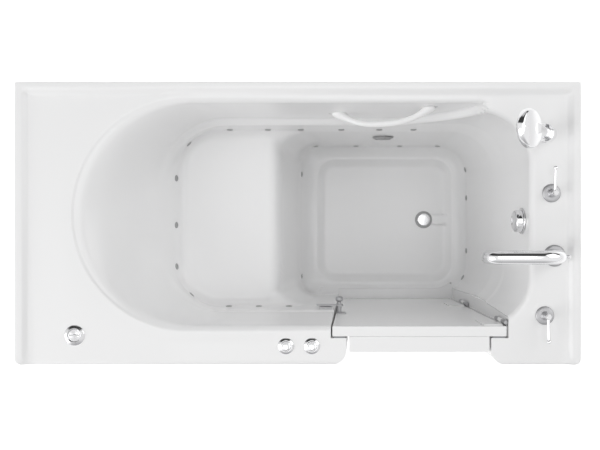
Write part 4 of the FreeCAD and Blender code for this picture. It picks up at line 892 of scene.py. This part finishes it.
def build_world(settings):
    """White behind the bath, a white room with a dark flag for reflections and even light for the rest."""
    world = bpy.data.worlds.new("studio")
    bpy.context.scene.world = world
    world.use_nodes = True
    tree = world.node_tree
    tree.nodes.clear()
    ray = tree.nodes.new("ShaderNodeLightPath")
    direction = tree.nodes.new("ShaderNodeTexCoord")
    split = add_node(tree, "ShaderNodeSeparateXYZ", direction.outputs["Generated"])
    across = tree.nodes.new("ShaderNodeMapRange")
    across.inputs["From Min"].default_value = -1.0
    tree.links.new(split.outputs["Y"], across.inputs["Value"])
    grade = add_node(tree, "ShaderNodeValToRGB", across.outputs["Result"])
    stops = grade.color_ramp.elements
    stops[0].color, stops[1].color = ROOM_ENDS
    for position, level in ROOM_GREYS:
        stops.new(position).color = (level, level, level, 1)
    seen = add_node(tree, "ShaderNodeBackground", WHITE)
    mirrored = add_node(tree, "ShaderNodeBackground", grade.outputs["Color"])
    ambient = add_node(tree, "ShaderNodeBackground", WHITE, settings.ambient)
    unseen = add_node(tree, "ShaderNodeMixShader", ray.outputs["Is Glossy Ray"], ambient.outputs[0],
                      mirrored.outputs[0])
    straight = math_node(tree, "MAXIMUM", ray.outputs["Is Camera Ray"], ray.outputs["Is Transmission Ray"])
    whole = add_node(tree, "ShaderNodeMixShader", straight, unseen.outputs[0], seen.outputs[0])
    add_node(tree, "ShaderNodeOutputWorld", whole.outputs[0])


def build_floor(settings):
    """Pale floor that keeps the bath's shadow, lifted towards white where it is seen or reflected."""
    material = bpy.data.materials.new("studio_floor")
    material.use_nodes = True
    tree = material.node_tree
    shader = tree.nodes["Principled BSDF"]
    shader.inputs["Base Color"].default_value = (0.9, 0.9, 0.9, 1)
    shader.inputs["Roughness"].default_value = 0.9
    shader.inputs["Specular IOR Level"].default_value = 0.0
    shader.inputs["Emission Color"].default_value = WHITE
    ray = tree.nodes.new("ShaderNodeLightPath")
    seen = math_node(tree, "MAXIMUM", ray.outputs["Is Camera Ray"], ray.outputs["Is Glossy Ray"])
    through = math_node(tree, "MAXIMUM", seen, ray.outputs["Is Transmission Ray"])
    glow = math_node(tree, "MULTIPLY", through, settings.floor_glow)
    tree.links.new(glow, shader.inputs["Emission Strength"])
    corners = [(x * FLOOR_HALF, y * FLOOR_HALF, 0) for x, y in ((-1, -1), (1, -1), (1, 1), (-1, 1))]
    floor = mesh_object("floor", corners, [(0, 1, 2, 3)], material)


def add_light(name, location, size, power, target):
    light = bpy.data.lights.new(name, "AREA")
    light.shape = "RECTANGLE"
    light.size, light.size_y = size
    light.energy = power
    obj = add_object(name, light)
    obj.location = location
    obj.rotation_euler = (Vector(target) - Vector(location)).to_track_quat("-Z", "Y").to_euler()


def build_camera(settings):
    camera = bpy.data.cameras.new("camera")
    camera.lens = settings.lens
    camera.sensor_width = 36.0
    obj = add_object("camera", camera)
    obj.location = settings.camera_place
    bpy.context.scene.camera = obj


def colour_setting(name, description, default):
    return bpy.props.FloatVectorProperty(name=name, description=description, subtype="COLOR", size=3,
                                         min=0.0, max=1.0, default=default)


class BathSettings(bpy.types.PropertyGroup):
    acrylic_colour: colour_setting("Acrylic", "Colour of the shell, door and apron", (0.96, 0.96, 0.962))
    chrome_colour: colour_setting("Chrome", "Colour of the taps and trims", (0.84, 0.84, 0.85))
    satin_colour: colour_setting("Satin metal", "Colour of the roses, hinges and latch", (0.46, 0.46, 0.47))
    jet_colour: colour_setting("Jets", "Colour of the air jets", (0.4, 0.4, 0.405))
    lens_colour: colour_setting("Light lens", "Colour of the unlit wall light", (0.17, 0.17, 0.175))
    jet_radius: bpy.props.FloatProperty(
        name="Jet radius", description="Outer radius of an air jet", unit="LENGTH", default=0.01,
        min=0.006, max=0.012)
    bar_radius: bpy.props.FloatProperty(
        name="Bar radius", description="Radius of the grab bar", unit="LENGTH", default=0.0085,
        min=0.006, max=0.012)
    camera_place: bpy.props.FloatVectorProperty(
        name="Camera place", description="Where the camera hangs over the bath", subtype="TRANSLATION",
        unit="LENGTH", default=(0.006, -0.004, 2.965))
    lens: bpy.props.FloatProperty(
        name="Lens", description="Focal length on a 36 mm sensor, in millimetres", unit="CAMERA",
        default=44.76)
    key_power: bpy.props.FloatProperty(
        name="Key power", description="Power of the overhead light", unit="POWER", default=22.0)
    side_power: bpy.props.FloatProperty(
        name="Side power", description="Power of the wide lights past the two ends", unit="POWER",
        default=50.0)
    ambient: bpy.props.FloatProperty(
        name="Ambient", description="Even light from all round", default=0.44, min=0.0)
    floor_glow: bpy.props.FloatProperty(
        name="Floor glow", description="Lift of the floor towards white, where it is seen or reflected",
        default=0.5, min=0.0)


class BATH_OT_shell(bpy.types.Operator):
    """Build the moulded acrylic shell"""
    bl_idname = "bath.shell"
    bl_label = "Build Shell"

    def execute(self, context):
        place(build_shell(finish("acrylic")), "tub", "acrylic", "tub_shell")
        return {"FINISHED"}


class BATH_OT_jets(bpy.types.Operator):
    """Set the air jets into the walls"""
    bl_idname = "bath.jets"
    bl_label = "Build Air Jets"

    def execute(self, context):
        jets = build_jets(finish("jet"), context.scene.bath_settings.jet_radius)
        place(jets, "tub", "chrome", "air_jets")
        return {"FINISHED"}


class BATH_OT_grab_bar(bpy.types.Operator):
    """Sweep the grab bar along its bow"""
    bl_idname = "bath.grab_bar"
    bl_label = "Build Grab Bar"

    def execute(self, context):
        bar = build_grab_bar(finish("acrylic"), context.scene.bath_settings.bar_radius)
        place(bar, "tub", "acrylic", "grab_bar")
        return {"FINISHED"}


class BATH_OT_round_fittings(bpy.types.Operator):
    """Turn the buttons, roses, drain, light and overflow"""
    bl_idname = "bath.round_fittings"
    bl_label = "Build Round Fittings"

    def execute(self, context):
        facts = node_facts()
        for node, pieces in build_round_fittings().items():
            for piece in pieces:
                place(piece, *facts[node], node)
        return {"FINISHED"}


class BATH_OT_door(bpy.types.Operator):
    """Finish the door with its frame, hinges and latch"""
    bl_idname = "bath.door"
    bl_label = "Finish Door"

    def execute(self, context):
        finish_nodes("door_panel", "door_outer_skin", "door_seal", "left_jamb", "right_jamb", "door_sill",
                     "hinge_brackets", "hinge_straps", "hinge_pins", "latch_plate", "latch_lever",
                     "strike_plate")
        return {"FINISHED"}


class BATH_OT_taps(bpy.types.Operator):
    """Finish the taps, spout, hand shower and air control"""
    bl_idname = "bath.taps"
    bl_label = "Finish Taps"

    def execute(self, context):
        finish_nodes("hot_lever", "cold_lever", "spout", "spout_aerator", "shower_holder", "hand_shower",
                     "spray_face", "valve_bodies", "air_control_knob", "deck_switch_bodies", "deck_nuts")
        return {"FINISHED"}


class BATH_OT_air_system(bpy.types.Operator):
    """Finish the blower, its pipes and the control box"""
    bl_idname = "bath.air_system"
    bl_label = "Finish Air System"

    def execute(self, context):
        finish_nodes("air_manifolds", "air_pipes", "check_valve", "jet_nuts", "blower_bracket",
                     "blower_housing", "blower_cover", "blower_impeller", "blower_motor", "control_box")
        return {"FINISHED"}


class BATH_OT_waste(bpy.types.Operator):
    """Finish the drain, its pipes and the light's housing"""
    bl_idname = "bath.waste"
    bl_label = "Finish Waste"

    def execute(self, context):
        finish_nodes("drain_flange", "drain_shoe", "overflow_pipe", "light_body")
        return {"FINISHED"}


class BATH_OT_base(bpy.types.Operator):
    """Finish the apron, frame, boards and feet"""
    bl_idname = "bath.base"
    bl_label = "Finish Base"

    def execute(self, context):
        finish_nodes("apron_panels", "apron_screws", "base_rails", "cross_rails", "frame_posts",
                     "seat_support", "floor_board", "foot_studs", "foot_pads", "grab_bar_fixings")
        return {"FINISHED"}


class BATH_OT_stage(bpy.types.Operator):
    """Set up the floor, lights, background and camera"""
    bl_idname = "bath.stage"
    bl_label = "Build Stage"

    def execute(self, context):
        settings = context.scene.bath_settings
        build_world(settings)
        build_floor(settings)
        add_light("key", KEY_PLACE, KEY_SIZE, settings.key_power, KEY_TARGET)
        for end, share in SIDE_SHARES:
            location, target = ((x * end, y * end, z) for x, y, z in (SIDE_PLACE, SIDE_TARGET))
            add_light("side", location, SIDE_SIZE, settings.side_power * share, target)
        build_camera(settings)
        context.scene.view_settings.view_transform = "Standard"
        return {"FINISHED"}


class BATH_PT_panel(bpy.types.Panel):
    bl_idname = "BATH_PT_panel"
    bl_label = "Air Bath"
    bl_space_type = "VIEW_3D"
    bl_region_type = "UI"
    bl_category = "Air Bath"

    def draw(self, context):
        for operator in OPERATORS:
            self.layout.operator(operator.bl_idname)
        for name in BathSettings.__annotations__:
            self.layout.prop(context.scene.bath_settings, name)


OPERATORS = (BATH_OT_shell, BATH_OT_jets, BATH_OT_grab_bar, BATH_OT_round_fittings, BATH_OT_door,
             BATH_OT_taps, BATH_OT_air_system, BATH_OT_waste, BATH_OT_base, BATH_OT_stage)
CLASSES = (BathSettings, *OPERATORS, BATH_PT_panel)


def register():
    for cls in CLASSES:
        bpy.utils.register_class(cls)
    bpy.types.Scene.bath_settings = bpy.props.PointerProperty(type=BathSettings)


def unregister():
    del bpy.types.Scene.bath_settings
    for cls in reversed(CLASSES):
        bpy.utils.unregister_class(cls)


def main():
    register()
    for operator in OPERATORS:
        group, name = operator.bl_idname.split(".")
        getattr(getattr(bpy.ops, group), name)()


if __name__ == "__main__":
    main()
